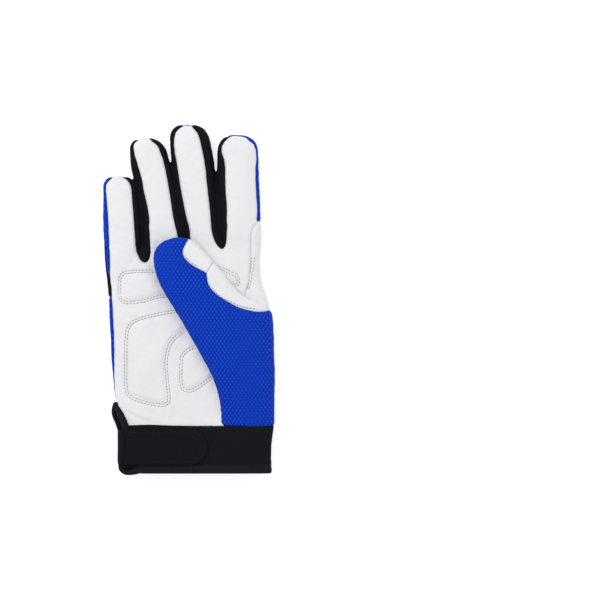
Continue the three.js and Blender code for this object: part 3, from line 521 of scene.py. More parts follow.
def thumb_ring(row):
    """One section of the folded thumb, as a few corner points for a smooth closed curve."""
    left_x, left_y, right_x, right_y, top, crease, low = row
    left, right = np.array([left_x, left_y]), np.array([right_x, right_y])
    width = np.linalg.norm(right - left)
    grown = low < THUMB_BED

    def at(share, z):
        plan = left + (right - left) * min(max(share, 0), 1)
        return (plan[0], plan[1], z)

    left_edge = THUMB_BED + (top - THUMB_BED) * 0.42
    right_edge = low + (top - low) * 0.5 if grown else left_edge
    round_share = (11 if grown else 5) / width
    ring = []
    for k in range(11):
        angle = math.pi * (1 - k / 10)
        share = 0.5 + 0.5 * float(signed_power(math.cos(angle), 0.78))
        edge = left_edge + (right_edge - left_edge) * share
        ring.append(at(share, edge + (top - edge) * math.sin(angle) ** 0.78))
    for turn in (0.35, 0.75):
        angle = turn * math.pi / 2
        ring.append(at(1 - (1 - math.cos(angle)) * round_share,
                       right_edge + (low - right_edge) * math.sin(angle)))
    ring.append(at(1 - round_share, low))
    if grown:
        ring.append(at(max(crease, 1 - round_share - 0.02), low))
        ring.append(at(crease + 0.05, low + (THUMB_BED - low) * 0.7))
        ring.append(at(crease, THUMB_BED))
    else:
        ring += [at(0.8, THUMB_BED), at(0.65, THUMB_BED), at(0.5, THUMB_BED)]
    left_round = min(4 / width, crease * 0.5)
    inner = crease - 0.02 if grown else 0.45
    ring.append(at(left_round + (inner - left_round) * 0.5, THUMB_BED))
    ring.append(at(left_round, THUMB_BED))
    ring.append(at(left_round * 0.3, THUMB_BED + (left_edge - THUMB_BED) * 0.4))
    return ring


def thumb_rings():
    corners = np.array([thumb_ring(row) for row in THUMB_ROWS])
    along = through(corners.reshape(len(corners), -1), 8).reshape(-1, corners.shape[1], 3)
    rings = [closed_through(ring, 5) for ring in along]
    tip = np.array(THUMB_TIP)
    cap = [tip + (rings[0] - tip) * share for share in (0.02, 0.45, 0.72, 0.88, 0.96)]
    return np.array(cap + rings)


def unit(vectors):
    return vectors / np.linalg.norm(vectors, axis=1)[:, None]


# Mesh helpers


def select_only(*objects):
    bpy.ops.object.select_all(action="DESELECT")
    for o in objects:
        o.select_set(True)
    bpy.context.view_layer.objects.active = objects[0]


def place(points):
    """Millimetres as the solids are drawn, to metres in the frame."""
    return (np.asarray(points, float) + np.array([*DRAWN_SHIFT, 0])) * MM


def drawn(points):
    """Metres in the frame, back to millimetres as the solids are drawn."""
    return np.asarray(points, float) / MM - np.array([*DRAWN_SHIFT, 0])


def grid_piece(name, rings, wrap=True):
    """A grid primitive bent into a tube, or kept a sheet, over rows of points in the frame."""
    rows, count = len(rings), len(rings[0])
    columns = count if wrap else count - 1
    bpy.ops.object.select_all(action="DESELECT")
    bpy.ops.mesh.primitive_grid_add(x_subdivisions=columns, y_subdivisions=rows - 1, size=0.1)
    piece = bpy.context.object
    piece.name = name
    piece.data.name = name
    coordinates = np.concatenate([rings, rings[:, :1]], axis=1) if wrap else rings
    piece.data.vertices.foreach_set("co", np.ascontiguousarray(coordinates, np.float32).ravel())
    bpy.ops.object.mode_set(mode="EDIT")
    bpy.ops.mesh.select_all(action="SELECT")
    bpy.ops.mesh.remove_doubles(threshold=1e-6)
    if wrap:
        bpy.ops.mesh.select_all(action="SELECT")
        bpy.ops.mesh.fill_holes(sides=0)
        bpy.ops.mesh.select_all(action="SELECT")
        bpy.ops.mesh.normals_make_consistent(inside=False)
    bpy.ops.object.mode_set(mode="OBJECT")
    return piece


def apply_modifier(piece, kind, **settings):
    select_only(piece)
    modifier = piece.modifiers.new(kind.lower(), kind)
    for key, value in settings.items():
        setattr(modifier, key, value)
    bpy.ops.object.modifier_apply(modifier=modifier.name)


def vectors_of(items, field):
    """One row of three numbers for each item of a mesh."""
    out = np.empty(len(items) * 3, np.float32)
    items.foreach_get(field, out)
    return out.reshape(-1, 3).astype(float)


def coordinates(mesh):
    return vectors_of(mesh.vertices, "co")


def vertex_normals(mesh):
    return vectors_of(mesh.vertex_normals, "vector")


def set_coordinates(mesh, points):
    mesh.vertices.foreach_set("co", np.ascontiguousarray(points, np.float32).ravel())
    mesh.update()


def edges_of(mesh):
    out = np.empty(len(mesh.edges) * 2, np.int32)
    mesh.edges.foreach_get("vertices", out)
    return out.reshape(-1, 2)


def relax(points, edges, rounds, weight, held=None):
    """Moves each point towards the middle of its neighbours."""
    degree = np.bincount(edges.ravel(), minlength=len(points)).clip(1)[:, None]
    share = np.full((len(points), 1), weight)
    if held is not None:
        share[held] = 0
    for _ in range(rounds):
        total = np.zeros_like(points)
        for axis in range(3):
            total[:, axis] = (
                np.bincount(edges[:, 0], points[edges[:, 1], axis], len(points))
                + np.bincount(edges[:, 1], points[edges[:, 0], axis], len(points)))
        points = points + (total / degree - points) * share
    return points


def solid_of(name, tubes):
    """Joins overlapping tubes into one skin of even faces and softens where they meet."""
    select_only(*tubes)
    if len(tubes) > 1:
        bpy.ops.object.join()
    solid = tubes[0]
    solid.name = name
    apply_modifier(solid, "REMESH", mode="VOXEL", voxel_size=sizes().mesh_step)
    apply_modifier(solid, "SMOOTH", factor=0.5, iterations=12)
    return solid


def cad_tree(names):
    """A search tree over the frame's solids that says which node each of its faces is from."""
    points, faces, owner = [], [], []
    for index, name in enumerate(names):
        mesh = frame["nodes"][name].data
        offset = len(points)
        points += [tuple(v.co) for v in mesh.vertices]
        for polygon in mesh.polygons:
            faces.append(tuple(offset + i for i in polygon.vertices))
            owner.append(index)
    return BVHTree.FromPolygons(points, faces), np.array(owner)


def nearest_nodes(mesh, tree, owner):
    """For each face, the node of the frame that lies nearest and how far off it is."""
    labels = np.full(len(mesh.polygons), -1)
    away = np.zeros(len(mesh.polygons))
    for i, polygon in enumerate(mesh.polygons):
        _, _, face, distance = tree.find_nearest(polygon.center)
        labels[i] = owner[face]
        away[i] = distance
    return labels, away


def face_lists(mesh):
    """The four corners of each face, as a voxel skin is all quads."""
    loops = np.empty(len(mesh.loops), np.int32)
    mesh.loops.foreach_get("vertex_index", loops)
    return loops.reshape(-1, 4)


def absorb_crumbs(quads, labels, count, least=150):
    """Gives loose crumbs of a label to the panel that surrounds them."""
    at_vertex = [[] for _ in range(count)]
    for face, corners in enumerate(quads.tolist()):
        for corner in corners:
            at_vertex[corner].append(face)
    seen = np.zeros(len(quads), bool)
    for start in range(len(quads)):
        if seen[start]:
            continue
        group, stack, beside = [], [start], []
        seen[start] = True
        while stack:
            face = stack.pop()
            group.append(face)
            for corner in quads[face].tolist():
                for other in at_vertex[corner]:
                    if labels[other] != labels[start]:
                        beside.append(labels[other])
                    elif not seen[other]:
                        seen[other] = True
                        stack.append(other)
        if len(group) < least and beside:
            labels[group] = np.bincount(beside).argmax()
    return labels


def tidy_labels(quads, labels, count, rounds=7):
    """Gives each face the label that most of its neighbours have, so that seams don't fray."""
    for _ in range(rounds):
        votes = np.zeros((count, labels.max() + 1))
        for corner in range(4):
            np.add.at(votes, (quads[:, corner], labels), 1)
        tally = votes[quads].sum(axis=1)
        labels = tally.argmax(axis=1)
    return labels


def untie_corners(quads, labels, count, rounds=4):
    """Where two panels cross at a corner, gives its faces to one of them."""
    for _ in range(rounds):
        meets = np.bincount(seam_edges(quads, labels).ravel(), minlength=count)
        for corner in np.flatnonzero(meets > 3):
            faces = np.flatnonzero((quads == corner).any(axis=1))
            if len(np.unique(labels[faces])) == 2:
                labels[faces] = labels[faces].min()
    return labels


def shared_edges(quads):
    """Every edge between two faces: its two vertices, and the face on each side."""
    pairs = np.sort(np.concatenate([quads[:, [k, (k + 1) % 4]] for k in range(4)]), axis=1)
    faces = np.tile(np.arange(len(quads)), 4)
    order = np.lexsort((pairs[:, 1], pairs[:, 0]))
    pairs, faces = pairs[order], faces[order]
    same = (pairs[1:] == pairs[:-1]).all(axis=1)
    return pairs[1:][same], faces[1:][same], faces[:-1][same]


def seam_edges(quads, labels):
    """Pairs of vertices on the edges where two labels meet."""
    pairs, first, second = shared_edges(quads)
    return pairs[labels[first] != labels[second]]


def trim_teeth(quads, labels, rounds=4):
    """Gives a face that a seam runs round on three sides to the panel beyond it."""
    _, first, second = shared_edges(quads)
    for _ in range(rounds):
        split = labels[first] != labels[second]
        faces = np.concatenate([first[split], second[split]])
        beyond = labels[np.concatenate([second[split], first[split]])]
        tooth = np.bincount(faces, minlength=len(quads))[faces] > 2
        labels[faces[tooth]] = beyond[tooth]
    return labels


def smooth_seams(points, edges, seams, rounds=36):
    """Straightens the stepped seams, then evens out the faces beside them."""
    near = np.bincount(seams.ravel(), minlength=len(points)) > 0
    points = relax(points, seams, rounds, 0.5, held=np.flatnonzero(~near))
    reach = near.copy()
    for _ in range(3):
        reach[edges[:, 0]] |= reach[edges[:, 1]]
        reach[edges[:, 1]] |= reach[edges[:, 0]]
    held = np.flatnonzero(near | ~reach)
    return relax(points, edges, 12, 0.5, held=held)


def distance_to(points, targets, limit):
    """How far each point is from the nearest of some target points, up to a limit."""
    tree = KDTree(len(targets))
    for i, target in enumerate(targets):
        tree.insert(target, i)
    tree.balance()
    out = np.full(len(points), limit)
    spot = np.full(len(points), -1)
    for i, point in enumerate(points):
        _, index, distance = tree.find(point)
        if distance < limit:
            out[i] = distance
            spot[i] = index
    return out, spot


def roll_seams(points, normals, targets):
    """Sinks the panels along their seams, with the small puckers that the stitches pull."""
    size = sizes()
    away, spot = distance_to(points, targets, size.seam_width * 2)
    t = np.clip(away / size.seam_width, 0, 1)
    groove = (1 - t) ** 2
    swell = np.exp(-((away / size.seam_width - SWELL_AT) / SWELL_HALF) ** 2)
    found = spot >= 0
    phase = np.zeros(len(points))
    wave = points[:, 1] * 1.1 + points[:, 0] * 0.7
    turns = wave[found] * 2 * math.pi / (PUCKER_PITCH * MM)
    phase[found] = np.sin(turns + 2.2 * np.sin(wave[found] * 310))
    on_top = 0.4 + 0.6 * smooth_step(np.abs(normals[:, 2]) / 0.7)
    depth = (-size.seam_depth * groove + (SWELL_RISE + PUCKER_RISE * phase) * MM * swell) * on_top
    return points + normals * depth[:, None]


def outline_distance(points, outline):
    """Signed distance in plan to a closed outline, positive inside it."""
    start = outline
    end = np.roll(outline, -1, axis=0)
    best = np.full(len(points), 1e9)
    inside = np.zeros(len(points), bool)
    for a, b in zip(start, end):
        along = b - a
        t = np.clip(((points - a) @ along) / max(along @ along, 1e-18), 0, 1)
        best = np.minimum(best, np.linalg.norm(points - (a + t[:, None] * along), axis=1))
        crosses = (a[1] > points[:, 1]) != (b[1] > points[:, 1])
        with np.errstate(divide="ignore", invalid="ignore"):
            x = a[0] + (points[:, 1] - a[1]) * along[0] / along[1]
        inside ^= crosses & (points[:, 0] < x)
    return np.where(inside, best, -best)


def pad_curves():
    """The pads' outlines in the frame, in metres."""
    curves = []
    for outline in PADS:
        flat = closed_through([(x, y, 0) for x, y in outline], 6)
        curves.append(place(flat)[:, :2])
    return curves


def raise_pads(points, normals, top_side):
    """Lifts the leather over each pad and pulls it down along two rows of stitches."""
    size = sizes()
    plan = points[top_side][:, :2]
    lift = np.zeros(len(plan))
    for curve in pad_curves():
        depth = outline_distance(plan, curve) / MM
        lift += size.pad_rise * smooth_step((depth - ROW_APART) / PAD_SHOULDER)
        lift += WELT_RISE * MM * np.exp(-(((depth - ROW_APART / 2) / WELT_HALF) ** 2))
        for row in (0, ROW_APART):
            lift -= ROW_DEPTH * MM * np.exp(-(((depth - row) / ROW_HALF) ** 2))
    moved = points.copy()
    moved[top_side] += normals[top_side] * lift[:, None]
    return moved


def creases(points, normals):
    """Slack leather and knit: long low waves, finer wrinkles and the listed folds."""
    x, y = points[:, 0] / MM, points[:, 1] / MM
    low = np.sin(x * 0.21 + 1.3 * np.sin(y * 0.083)) * np.sin(y * 0.11 + 0.9 * np.sin(x * 0.12))
    fine = np.sin(x * 0.62 + y * 0.31 + 2 * np.sin(y * 0.17)) * np.sin(y * 0.71 - x * 0.23)
    rise = 0.30 * low + 0.10 * fine
    plan = drawn(points)[:, :2]
    for start, end, width, height in FOLDS:
        start, along = np.array(start), np.subtract(end, start)
        t = np.clip((plan - start) @ along / (along @ along), 0, 1)
        away = np.linalg.norm(plan - start - t[:, None] * along, axis=1)
        ends = np.sin(math.pi * np.clip(t, 0.02, 0.98)) ** 0.6
        rise += np.where(normals[:, 2] > 0, height * ends * np.exp(-((away / width) ** 2)), 0)
    return points + normals * (rise * MM)[:, None]


def split_pieces(solid, names, labels):
    """Cuts the skin into its panels, one object each, and drops what belongs to none."""
    for name in (*names, "cut away"):
        solid.data.materials.append(bpy.data.materials.new(f"cut {name}"))
    solid.data.polygons.foreach_set("material_index", labels.astype(np.int32))
    select_only(solid)
    bpy.ops.object.mode_set(mode="EDIT")
    bpy.ops.mesh.separate(type="MATERIAL")
    bpy.ops.object.mode_set(mode="OBJECT")
    pieces = {}
    for piece in list(bpy.context.selected_objects):
        label = piece.data.materials[piece.data.polygons[0].material_index].name.removeprefix("cut ")
        if label == "cut away":
            bpy.data.objects.remove(piece)
        else:
            pieces[label] = piece
    for material in [m for m in bpy.data.materials if m.name.startswith("cut ")]:
        bpy.data.materials.remove(material)
    return pieces


def give_wall(piece, thickness):
    """Turns a panel into a wall that grows inwards, with its rim closed."""
    apply_modifier(piece, "SOLIDIFY", thickness=thickness, offset=-1, use_even_offset=False, use_rim=True)
    select_only(piece)
    bpy.ops.object.shade_smooth()


def finish_piece(piece, material, slot, *nodes):
    piece.data.materials.clear()
    piece.data.materials.append(material)
    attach(piece, "root")
    if nodes:
        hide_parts(*nodes)


def dress_group(name, tubes, nodes, correct):
    """Models one soft skin, cuts it along its seams and returns the panels by node name."""
    size = sizes()
    solid = solid_of(name, tubes)
    nodes = list(nodes)
    tree, owner = cad_tree(nodes)
    mesh = solid.data
    labels, away = nearest_nodes(mesh, tree, owner)
    quads = face_lists(mesh)
    centres = coordinates(mesh)[quads].mean(axis=1)
    labels = correct(drawn(centres), vertex_normals(mesh)[quads].mean(axis=1), labels, away / MM, nodes)
    labels = tidy_labels(quads, labels, len(mesh.vertices))
    labels = absorb_crumbs(quads, labels, len(mesh.vertices))
    labels = untie_corners(quads, labels, len(mesh.vertices))
    labels = trim_teeth(quads, labels)
    edges = edges_of(mesh)
    seams = seam_edges(quads, labels)
    points = smooth_seams(coordinates(mesh), edges, seams)
    set_coordinates(mesh, points)
    normals = vertex_normals(mesh)
    targets = np.concatenate([points[np.unique(seams)], (points[seams[:, 0]] + points[seams[:, 1]]) / 2])
    points = creases(points, normals)
    if "palm_leather" in nodes:
        palm = np.zeros(len(points), bool)
        palm[np.unique(quads[labels == nodes.index("palm_leather")])] = True
        points = raise_pads(points, normals, palm & (normals[:, 2] > 0.3))
    points = roll_seams(points, normals, targets)
    points[:, 2] = np.maximum(points[:, 2], 0)
    set_coordinates(mesh, points)
    pieces = split_pieces(solid, nodes, labels)
    for piece in pieces.values():
        give_wall(piece, size.leather)
    return pieces


def middle_of(index, y):
    """The middle of a finger at a height along the hand; past its tip, its outer side."""
    rows = np.array(FINGERS[index]["rows"])
    middle = np.interp(y, rows[:, 0], rows[:, 1:].mean(axis=1))
    outwards = -1 if index < 2 else 1
    return np.where(y > FINGERS[index]["tip"][1], middle + outwards * 12, middle)


def correct_hand(centres, normals, labels, away, nodes):
    """Opens the hand at the wrist and the thumb, and keeps the panels whole at the thumb and the tips."""
    x, y, z = centres.T
    facing_up = normals[:, 2] > 0
    number = {node_name: index for index, node_name in enumerate(nodes)}

    def on(*panels):
        return np.isin(labels, [number[panel] for panel in panels])

    def give(where, panel):
        return np.where(where, number[panel], labels)

    left, low, high = PATCH_AT_THUMB
    beside_thumb = on("hand_back", "finger_backs") & (normals[:, 2] > NOT_DOWN)
    beside_thumb &= (x > left) & (y > low) & (y < high)
    labels = give(beside_thumb, "index_patch")

    backs = on("finger_backs")
    for web, side in enumerate(SIDES):
        tall = max(FINGERS[web + 1], FINGERS[web], key=lambda finger: finger["tip"][1])
        last, tip_y = tall["rows"][-1][0], tall["tip"][1]
        below_tip = y < last + STRIP_SHARE * (tip_y - last)
        inside_web = (x > middle_of(web, y)) & (x < middle_of(web + 1, y))
        high_enough = (z > BACK_HEIGHT) & (z < STRIP_HEIGHT) & (y > STRIP_START)
        labels = give(backs & high_enough & below_tip & inside_web, side)
    for web, side in enumerate(SIDES):
        below_parting = y < PARTINGS[web] - STRIP_SHORT_OF_PARTING
        labels = give(on(side) & (z < BACK_HEIGHT) & below_parting, "finger_backs")

    for left, between, right, rows in SEEN_FROM_ABOVE:
        height, start, end = np.array(rows[::-1]).T
        start, end = np.interp(y, height, start), np.interp(y, height, end)
        seen = (y > height[0]) & (y < height[-1]) & (z > SEEN_HEIGHT) & facing_up
        seen &= (x > start - SEEN_REACH) & (x < end + SEEN_REACH)
        panel = np.where(x < start, number[left], number[between])
        labels = np.where(seen, np.where(x < end, panel, number[right]), labels)
    for finger, edges in zip(FINGERS, TIP_EDGES):
        last, (tip_x, tip_y) = finger["rows"][-1][0], finger["tip"]
        at_tip = (y > last + TIP_SHARE * (tip_y - last)) & (np.abs(x - tip_x) < TIP_REACH) & (z > TIP_HEIGHT)
        at_tip &= (z < SEEN_HEIGHT) | on("finger_backs")
        for panel, end in reversed(edges):
            labels = give(at_tip & (x < end), panel)

    band_y, band_high = np.transpose(BAND_HIGH)
    outer = (x < BAND_RIGHT) & (y > band_y[0]) & (y < band_y[-1])
    outer &= (z > BAND_LOW) & (z < np.interp(y, band_y, band_high))
    labels = give(outer & on("hand_back", "finger_backs"), "knuckle_band")

    edge_y, edge_x = np.transpose(PATCH_EDGE)
    beside = (y > edge_y[0]) & (y < edge_y[-1]) & (x > PATCH_LEFT) & facing_up
    leather = beside & on("index_patch", "palm_leather", "finger_backs")
    palm, patch = number["palm_leather"], number["index_patch"]
    labels = np.where(leather, np.where(x < np.interp(y, edge_y, edge_x), palm, patch), labels)

    opened = (away > HAND_OPEN) & (y < HAND_OPEN_BELOW)
    leg = np.array([row[:2] for row in reversed(VENT_BINDING)
                    if row[3] < VENT_FRONT_LEAN and row[1] > VENT_LEG_START])
    beside_vent = facing_up & (z > SEEN_HEIGHT) & (x < VENT_RIGHT) & (y < leg[-1, 1])
    labels = give(beside_vent, "palm_leather")
    opened = np.where(beside_vent, x < np.interp(y, leg[:, 1], leg[:, 0]), opened)
    return np.where(opened | (y < CUFF_LINE - 1), len(nodes), labels)


def correct_thumb(centres, normals, labels, away, nodes):
    """Opens the thumb at its root and sets where its knit ends near the wrist and the index finger."""
    x, y, _ = centres.T
    knit, leather = nodes.index("thumb_back"), nodes.index("thumb_front_base")
    near_wrist = (normals[:, 2] > 0.1) & (y < THUMB_LEATHER_FROM)
    labels = np.where((labels == leather) & near_wrist, knit, labels)
    corner = THUMB_CORNER_Y + np.maximum(0, x - THUMB_CORNER_X) ** 2 * THUMB_CORNER_BEND
    past_corner = (normals[:, 2] > NOT_DOWN) & (x > THUMB_CORNER_FROM) & (y > corner)
    labels = np.where((labels == knit) & past_corner, leather, labels)
    opened = (y < CUFF_LINE + THUMB_PAST_CUFF) | (away > THUMB_OPEN)
    return np.where(opened, len(nodes), labels)


# Cuff, binding, strap and stitches


def lengths_along(points):
    """How far along its line each point lies."""
    steps = np.linalg.norm(np.diff(points, axis=0), axis=1)
    return np.concatenate([[0], np.cumsum(steps)])


def at_lengths(rows, lengths, spots):
    """Rows of numbers along a line, read off at other lengths."""
    return np.column_stack([np.interp(spots, lengths, column) for column in rows.T])


def resample(points, count):
    """Evenly spaced points along a line."""
    lengths = lengths_along(points)
    return at_lengths(points, lengths, np.linspace(0, lengths[-1], count))


def face_out(piece):
    """Turns an open sheet's faces away from the middle of the wrist."""
    points = coordinates(piece.data)
    middle = place([(WRIST_MIDDLE, 0, CUFF_MIDDLE)])[0]
    outwards = points - middle
    outwards[:, 1] = 0
    if (vertex_normals(piece.data) * outwards).sum() < 0:
        select_only(piece)
        bpy.ops.object.mode_set(mode="EDIT")
        bpy.ops.mesh.select_all(action="SELECT")
        bpy.ops.mesh.flip_normals()
        bpy.ops.object.mode_set(mode="OBJECT")


def thicken(sheet, thickness, offset, rounding):
    """Turns an open sheet outwards, gives it a wall and rounds the wall's edges."""
    face_out(sheet)
    apply_modifier(sheet, "SOLIDIFY", thickness=thickness, offset=offset, use_rim=True)
    apply_modifier(sheet, "BEVEL", width=rounding, segments=3, limit_method="ANGLE",
                   angle_limit=math.radians(50))
    bpy.ops.object.shade_smooth()
    return sheet


def cuff_row(y, proud, count, inset=0.0):
    """The wrist's outline at a height along the hand, from the vent's front edge round to its back."""
    share = y / CUFF_LINE
    spread = 0.8 * (1 - share) ** 2 - 2.08 * share * (1 - share) - proud
    right = np.interp(y, *np.transpose(CUFF_RIGHT)) + proud
    ring = tube_ring((CUFF_LEFT + spread, y), (right, y), CUFF_MIDDLE, CUFF_TOP + proud,
                     CUFF_BOTTOM - proud, PALM_SQUARE, 720)
    edge = np.interp(y, (VENT_BOTTOM[1], VENT_TOP[1]), (VENT_BOTTOM[0], VENT_TOP[0])) + inset
    front = ring[:361][ring[:361, 0] >= edge][::-1]
    back = ring[361:][ring[361:, 0] >= edge][::-1]
    return resample(np.concatenate([front, back]), count)


def cuff_front(x):
    """Height of the cuff's front at a place across the wrist."""
    row = cuff_row(18.0, 0.3, 600)
    row = row[row[:, 2] > CUFF_MIDDLE]
    return np.interp(x, row[:, 0], row[:, 2])


def make_cuff():
    """The wrist's sheet with its slack waves, the groove along its hem and a rise of its top edge."""
    rows = []
    for y in np.linspace(HEM_HEIGHT - 1.0, CUFF_LINE + 0.7, 60):
        share = max(0, (y - HEM_HEIGHT) / (CUFF_LINE - HEM_HEIGHT))
        row = cuff_row(y, 0.35 * (1 - abs(2 * share - 1) ** 5), 300)
        wave = 0.16 * np.sin(row[:, 0] * 0.23 + y * 0.35) * math.sin(math.pi * min(1, max(0, share)))
        wave -= HEM_GROOVE_DEPTH * math.exp(-(((y - HEM_GROOVE) / HEM_GROOVE_HALF) ** 2))
        row[:, 2] += wave * np.sign(row[:, 2] - CUFF_MIDDLE)
        beside_vent = np.exp(-(((row[:, 0] - TOP_RISE_AT) / TOP_RISE_WIDTH) ** 2))
        row[:, 1] += TOP_RISE * beside_vent * share**2
        rows.append(row)
    cuff = grid_piece("neoprene_cuff", place(rows), wrap=False)
    return thicken(cuff, sizes().neoprene, offset=-1, rounding=0.65 * MM)


def binding_path():
    """The closed line of the hem and vent binding, which way it faces and its half width."""
    hem = cuff_row(HEM_MIDDLE, -HEM_SUNK, 150, inset=HEM_SHORT_OF_VENT)
    turn = np.gradient(hem, axis=0)
    facing = unit(np.column_stack([-turn[:, 2], np.zeros(len(hem)), turn[:, 0]]))
    hem = np.column_stack([hem, facing, np.full(len(hem), HEM_HALF_WIDTH)])[::6]
    legs = np.array(VENT_BINDING)
    lean = np.radians(legs[:, 3])
    legs = np.column_stack([legs[:, :3], np.cos(lean), np.zeros(len(legs)), np.sin(lean), legs[:, 4]])
    smooth = closed_through(np.concatenate([hem, legs]), 12)
    return smooth[:, :3], smooth[:, 3:6], smooth[:, 6]


def make_binding():
    """The tape round the hem and the vent, with a groove where its folded edge lies."""
    path, facing, half = binding_path()
    along = unit(np.roll(path, -1, axis=0) - np.roll(path, 1, axis=0))
    facing = unit(facing - along * (facing * along).sum(axis=1)[:, None])
    side = np.cross(along, facing)
    rings = []
    for angle in np.linspace(0, 2 * math.pi, 41)[:-1]:
        across = float(signed_power(math.cos(angle), BINDING_SQUARE))
        height = BINDING_HEIGHT / 2 * float(signed_power(math.sin(angle), BINDING_SQUARE))
        if math.sin(angle) > 0.3:
            height -= FOLD_DEPTH * math.exp(-(((across - FOLD_AT) / FOLD_HALF) ** 2))
        rings.append(path + side * (half * across)[:, None] + facing * height)
    rings = np.array(rings).transpose(1, 0, 2)
    closed = np.concatenate([rings, rings[:1]])
    binding = grid_piece("binding_tape", place(closed))
    bpy.ops.object.shade_smooth()
    return binding


def strap_line():
    """The strap's middle line from the back root to the front end, as x and z, and how far along."""
    root = np.column_stack([np.linspace(STRAP_ROOT, STRAP_BEND, 22)[:-1], np.full(21, STRAP_BACK)])
    height = float(cuff_front(STRAP_BEND)) + STRAP_GAP
    turn = np.linspace(-math.pi / 2, math.pi / 2, 80)
    middle, reach = (height + STRAP_BACK) / 2, (height - STRAP_BACK) / 2
    fold = np.column_stack([STRAP_BEND - STRAP_REACH * np.cos(turn), middle + reach * np.sin(turn)])
    x = STRAP_BEND + (STRAP_END - STRAP_BEND) * (1 - (1 - np.linspace(0, 1, 90)[1:]) ** 1.25)
    lying = cuff_front(x) + sizes().strap / MM / 2 + SETTLE_GAP
    z = np.minimum(STRAP_FRONT, cuff_front(x) + STRAP_GAP)
    z += (lying - z) * smooth_step((x - SETTLE_FROM) / SETTLE_LENGTH)
    return np.concatenate([root, fold, np.column_stack([x, z])])


def make_strap():
    """The strap with its round end, and the ridge where it folds over to the front."""
    line = strap_line()
    slope = unit(np.gradient(line, axis=0))
    outwards = np.column_stack([-slope[:, 1], slope[:, 0]])
    front = line[:, 1] > CUFF_MIDDLE
    share = np.clip((line[:, 0] - STRAP_END + STRAP_ROUND) / STRAP_ROUND, 0, 1) * front
    half = (STRAP_HIGH - STRAP_LOW) / 2 * np.sqrt(np.maximum(0, 1 - share**2.4))
    half[-1] = 0.05
    rows = []
    for across in np.sin(np.linspace(-math.pi / 2, math.pi / 2, 41)):
        y = (STRAP_LOW + STRAP_HIGH) / 2 + half * across
        inwards = RIDGE_EDGE - RIDGE_BOW * ((y - RIDGE_MIDDLE) / RIDGE_SPAN) ** 2 - line[:, 0]
        ridge = RIDGE_HEIGHT * np.sin(math.pi * np.clip(inwards / RIDGE_WIDTH, 0, 0.8)) ** 0.7
        ridge -= RIDGE_HEIGHT * np.exp(-((inwards / RIDGE_GROOVE) ** 2))
        xz = line + outwards * (np.where(front, ridge, 0) - EDGE_ROLL * abs(across) ** 8)[:, None]
        rows.append(np.column_stack([xz[:, 0], y, xz[:, 1]]))
    strap = grid_piece("loop_strap", place(rows), wrap=False)
    return thicken(strap, sizes().strap, offset=0, rounding=0.4 * MM)


def tree_of(piece):
    return BVHTree.FromPolygons(
        [tuple(v.co) for v in piece.data.vertices], [tuple(p.vertices) for p in piece.data.polygons])


def drop(plan, tree, covers=()):
    """Drops a line seen from above on to a piece, in runs of places and the way the surface faces.

    A run ends where the surface is steep, steps down or lies under a cover."""
    steepest, covered_by, step, shortest = 0.2, 0.4 * MM, 1.2 * MM, 8
    down = Vector((0, 0, -1))
    flat = np.column_stack([plan, np.zeros(len(plan))])
    runs = [[]]
    for x, y, _ in place(resample(flat, max(12, len(plan) * 12))):
        start = Vector((x, y, 0.1))
        spot, normal, _, _ = tree.ray_cast(start, down)
        over = [cover.ray_cast(start, down)[0] for cover in covers]
        hidden = spot is None or normal.z < steepest or any(o and o.z > spot.z + covered_by for o in over)
        if hidden or (runs[-1] and abs(runs[-1][-1][0].z - spot.z) > step):
            runs.append([])
        if not hidden:
            runs[-1].append((spot, normal))
    return [tuple(np.array([tuple(v) for v in column]) for column in zip(*run))
            for run in runs if len(run) > shortest]


def sew(name, runs, material, slot, rise=0.1 * MM):
    """Thread stitches that dive into the cloth at both ends, along runs on a surface, every other run
    half a stitch on."""
    size = sizes()
    curve = bpy.data.curves.new(name, "CURVE")
    curve.dimensions = "3D"
    curve.bevel_depth = size.thread / 2
    curve.bevel_resolution = 1
    holes = []
    for index, (points, normals) in enumerate(runs):
        lengths = lengths_along(points)
        start = 0.5 * (index % 2)
        for k in start + np.arange(int(lengths[-1] / size.stitch_pitch - start)):
            spots = (k + STITCH_SPOTS) * size.stitch_pitch
            lift = np.array([-size.thread, rise, rise, -size.thread])
            where = at_lengths(points, lengths, spots)
            where += at_lengths(normals, lengths, spots) * lift[:, None]
            spline = curve.splines.new("POLY")
            spline.points.add(3)
            spline.points.foreach_set("co", np.column_stack([where, np.ones(4)]).ravel())
            holes.append(at_lengths(points, lengths, [k * size.stitch_pitch])[0])
    thread = bpy.data.objects.new(name, curve)
    bpy.context.scene.collection.objects.link(thread)
    select_only(thread)
    bpy.ops.object.convert(target="MESH")
    thread = bpy.context.object
    bpy.ops.object.shade_smooth()
    finish_piece(thread, material, slot)
    return np.array(holes)


def paint_hole_shade(name, holes, material, slot, radius=0.38 * MM):
    """Small dark balls of painted shade in the needle holes between the stitches."""
    bpy.ops.object.select_all(action="DESELECT")
    bpy.ops.mesh.primitive_ico_sphere_add(subdivisions=1, radius=radius)
    hole = bpy.context.object
    hole.name = name
    ball = coordinates(hole.data)
    faces = np.array([tuple(p.vertices) for p in hole.data.polygons])
    points = (holes[:, None, :] + ball[None]).reshape(-1, 3)
    corners = (faces[None] + (np.arange(len(holes)) * len(ball))[:, None, None]).reshape(-1, 3)
    hole.data.clear_geometry()
    hole.data.from_pydata(points.tolist(), [], corners.tolist())
    finish_piece(hole, material, slot)


# Materials


def new_material(name, roughness, gloss=0.07):
    material = bpy.data.materials.new(name)
    material.use_nodes = True
    shader = material.node_tree.nodes["Principled BSDF"]
    shader.inputs["Roughness"].default_value = roughness
    shader.inputs["Specular IOR Level"].default_value = gloss
    return material, shader


def node(tree, kind, **inputs):
    made = tree.nodes.new(kind)
    for key, value in inputs.items():
        made.inputs[key.replace("_", " ")].default_value = value
    return made


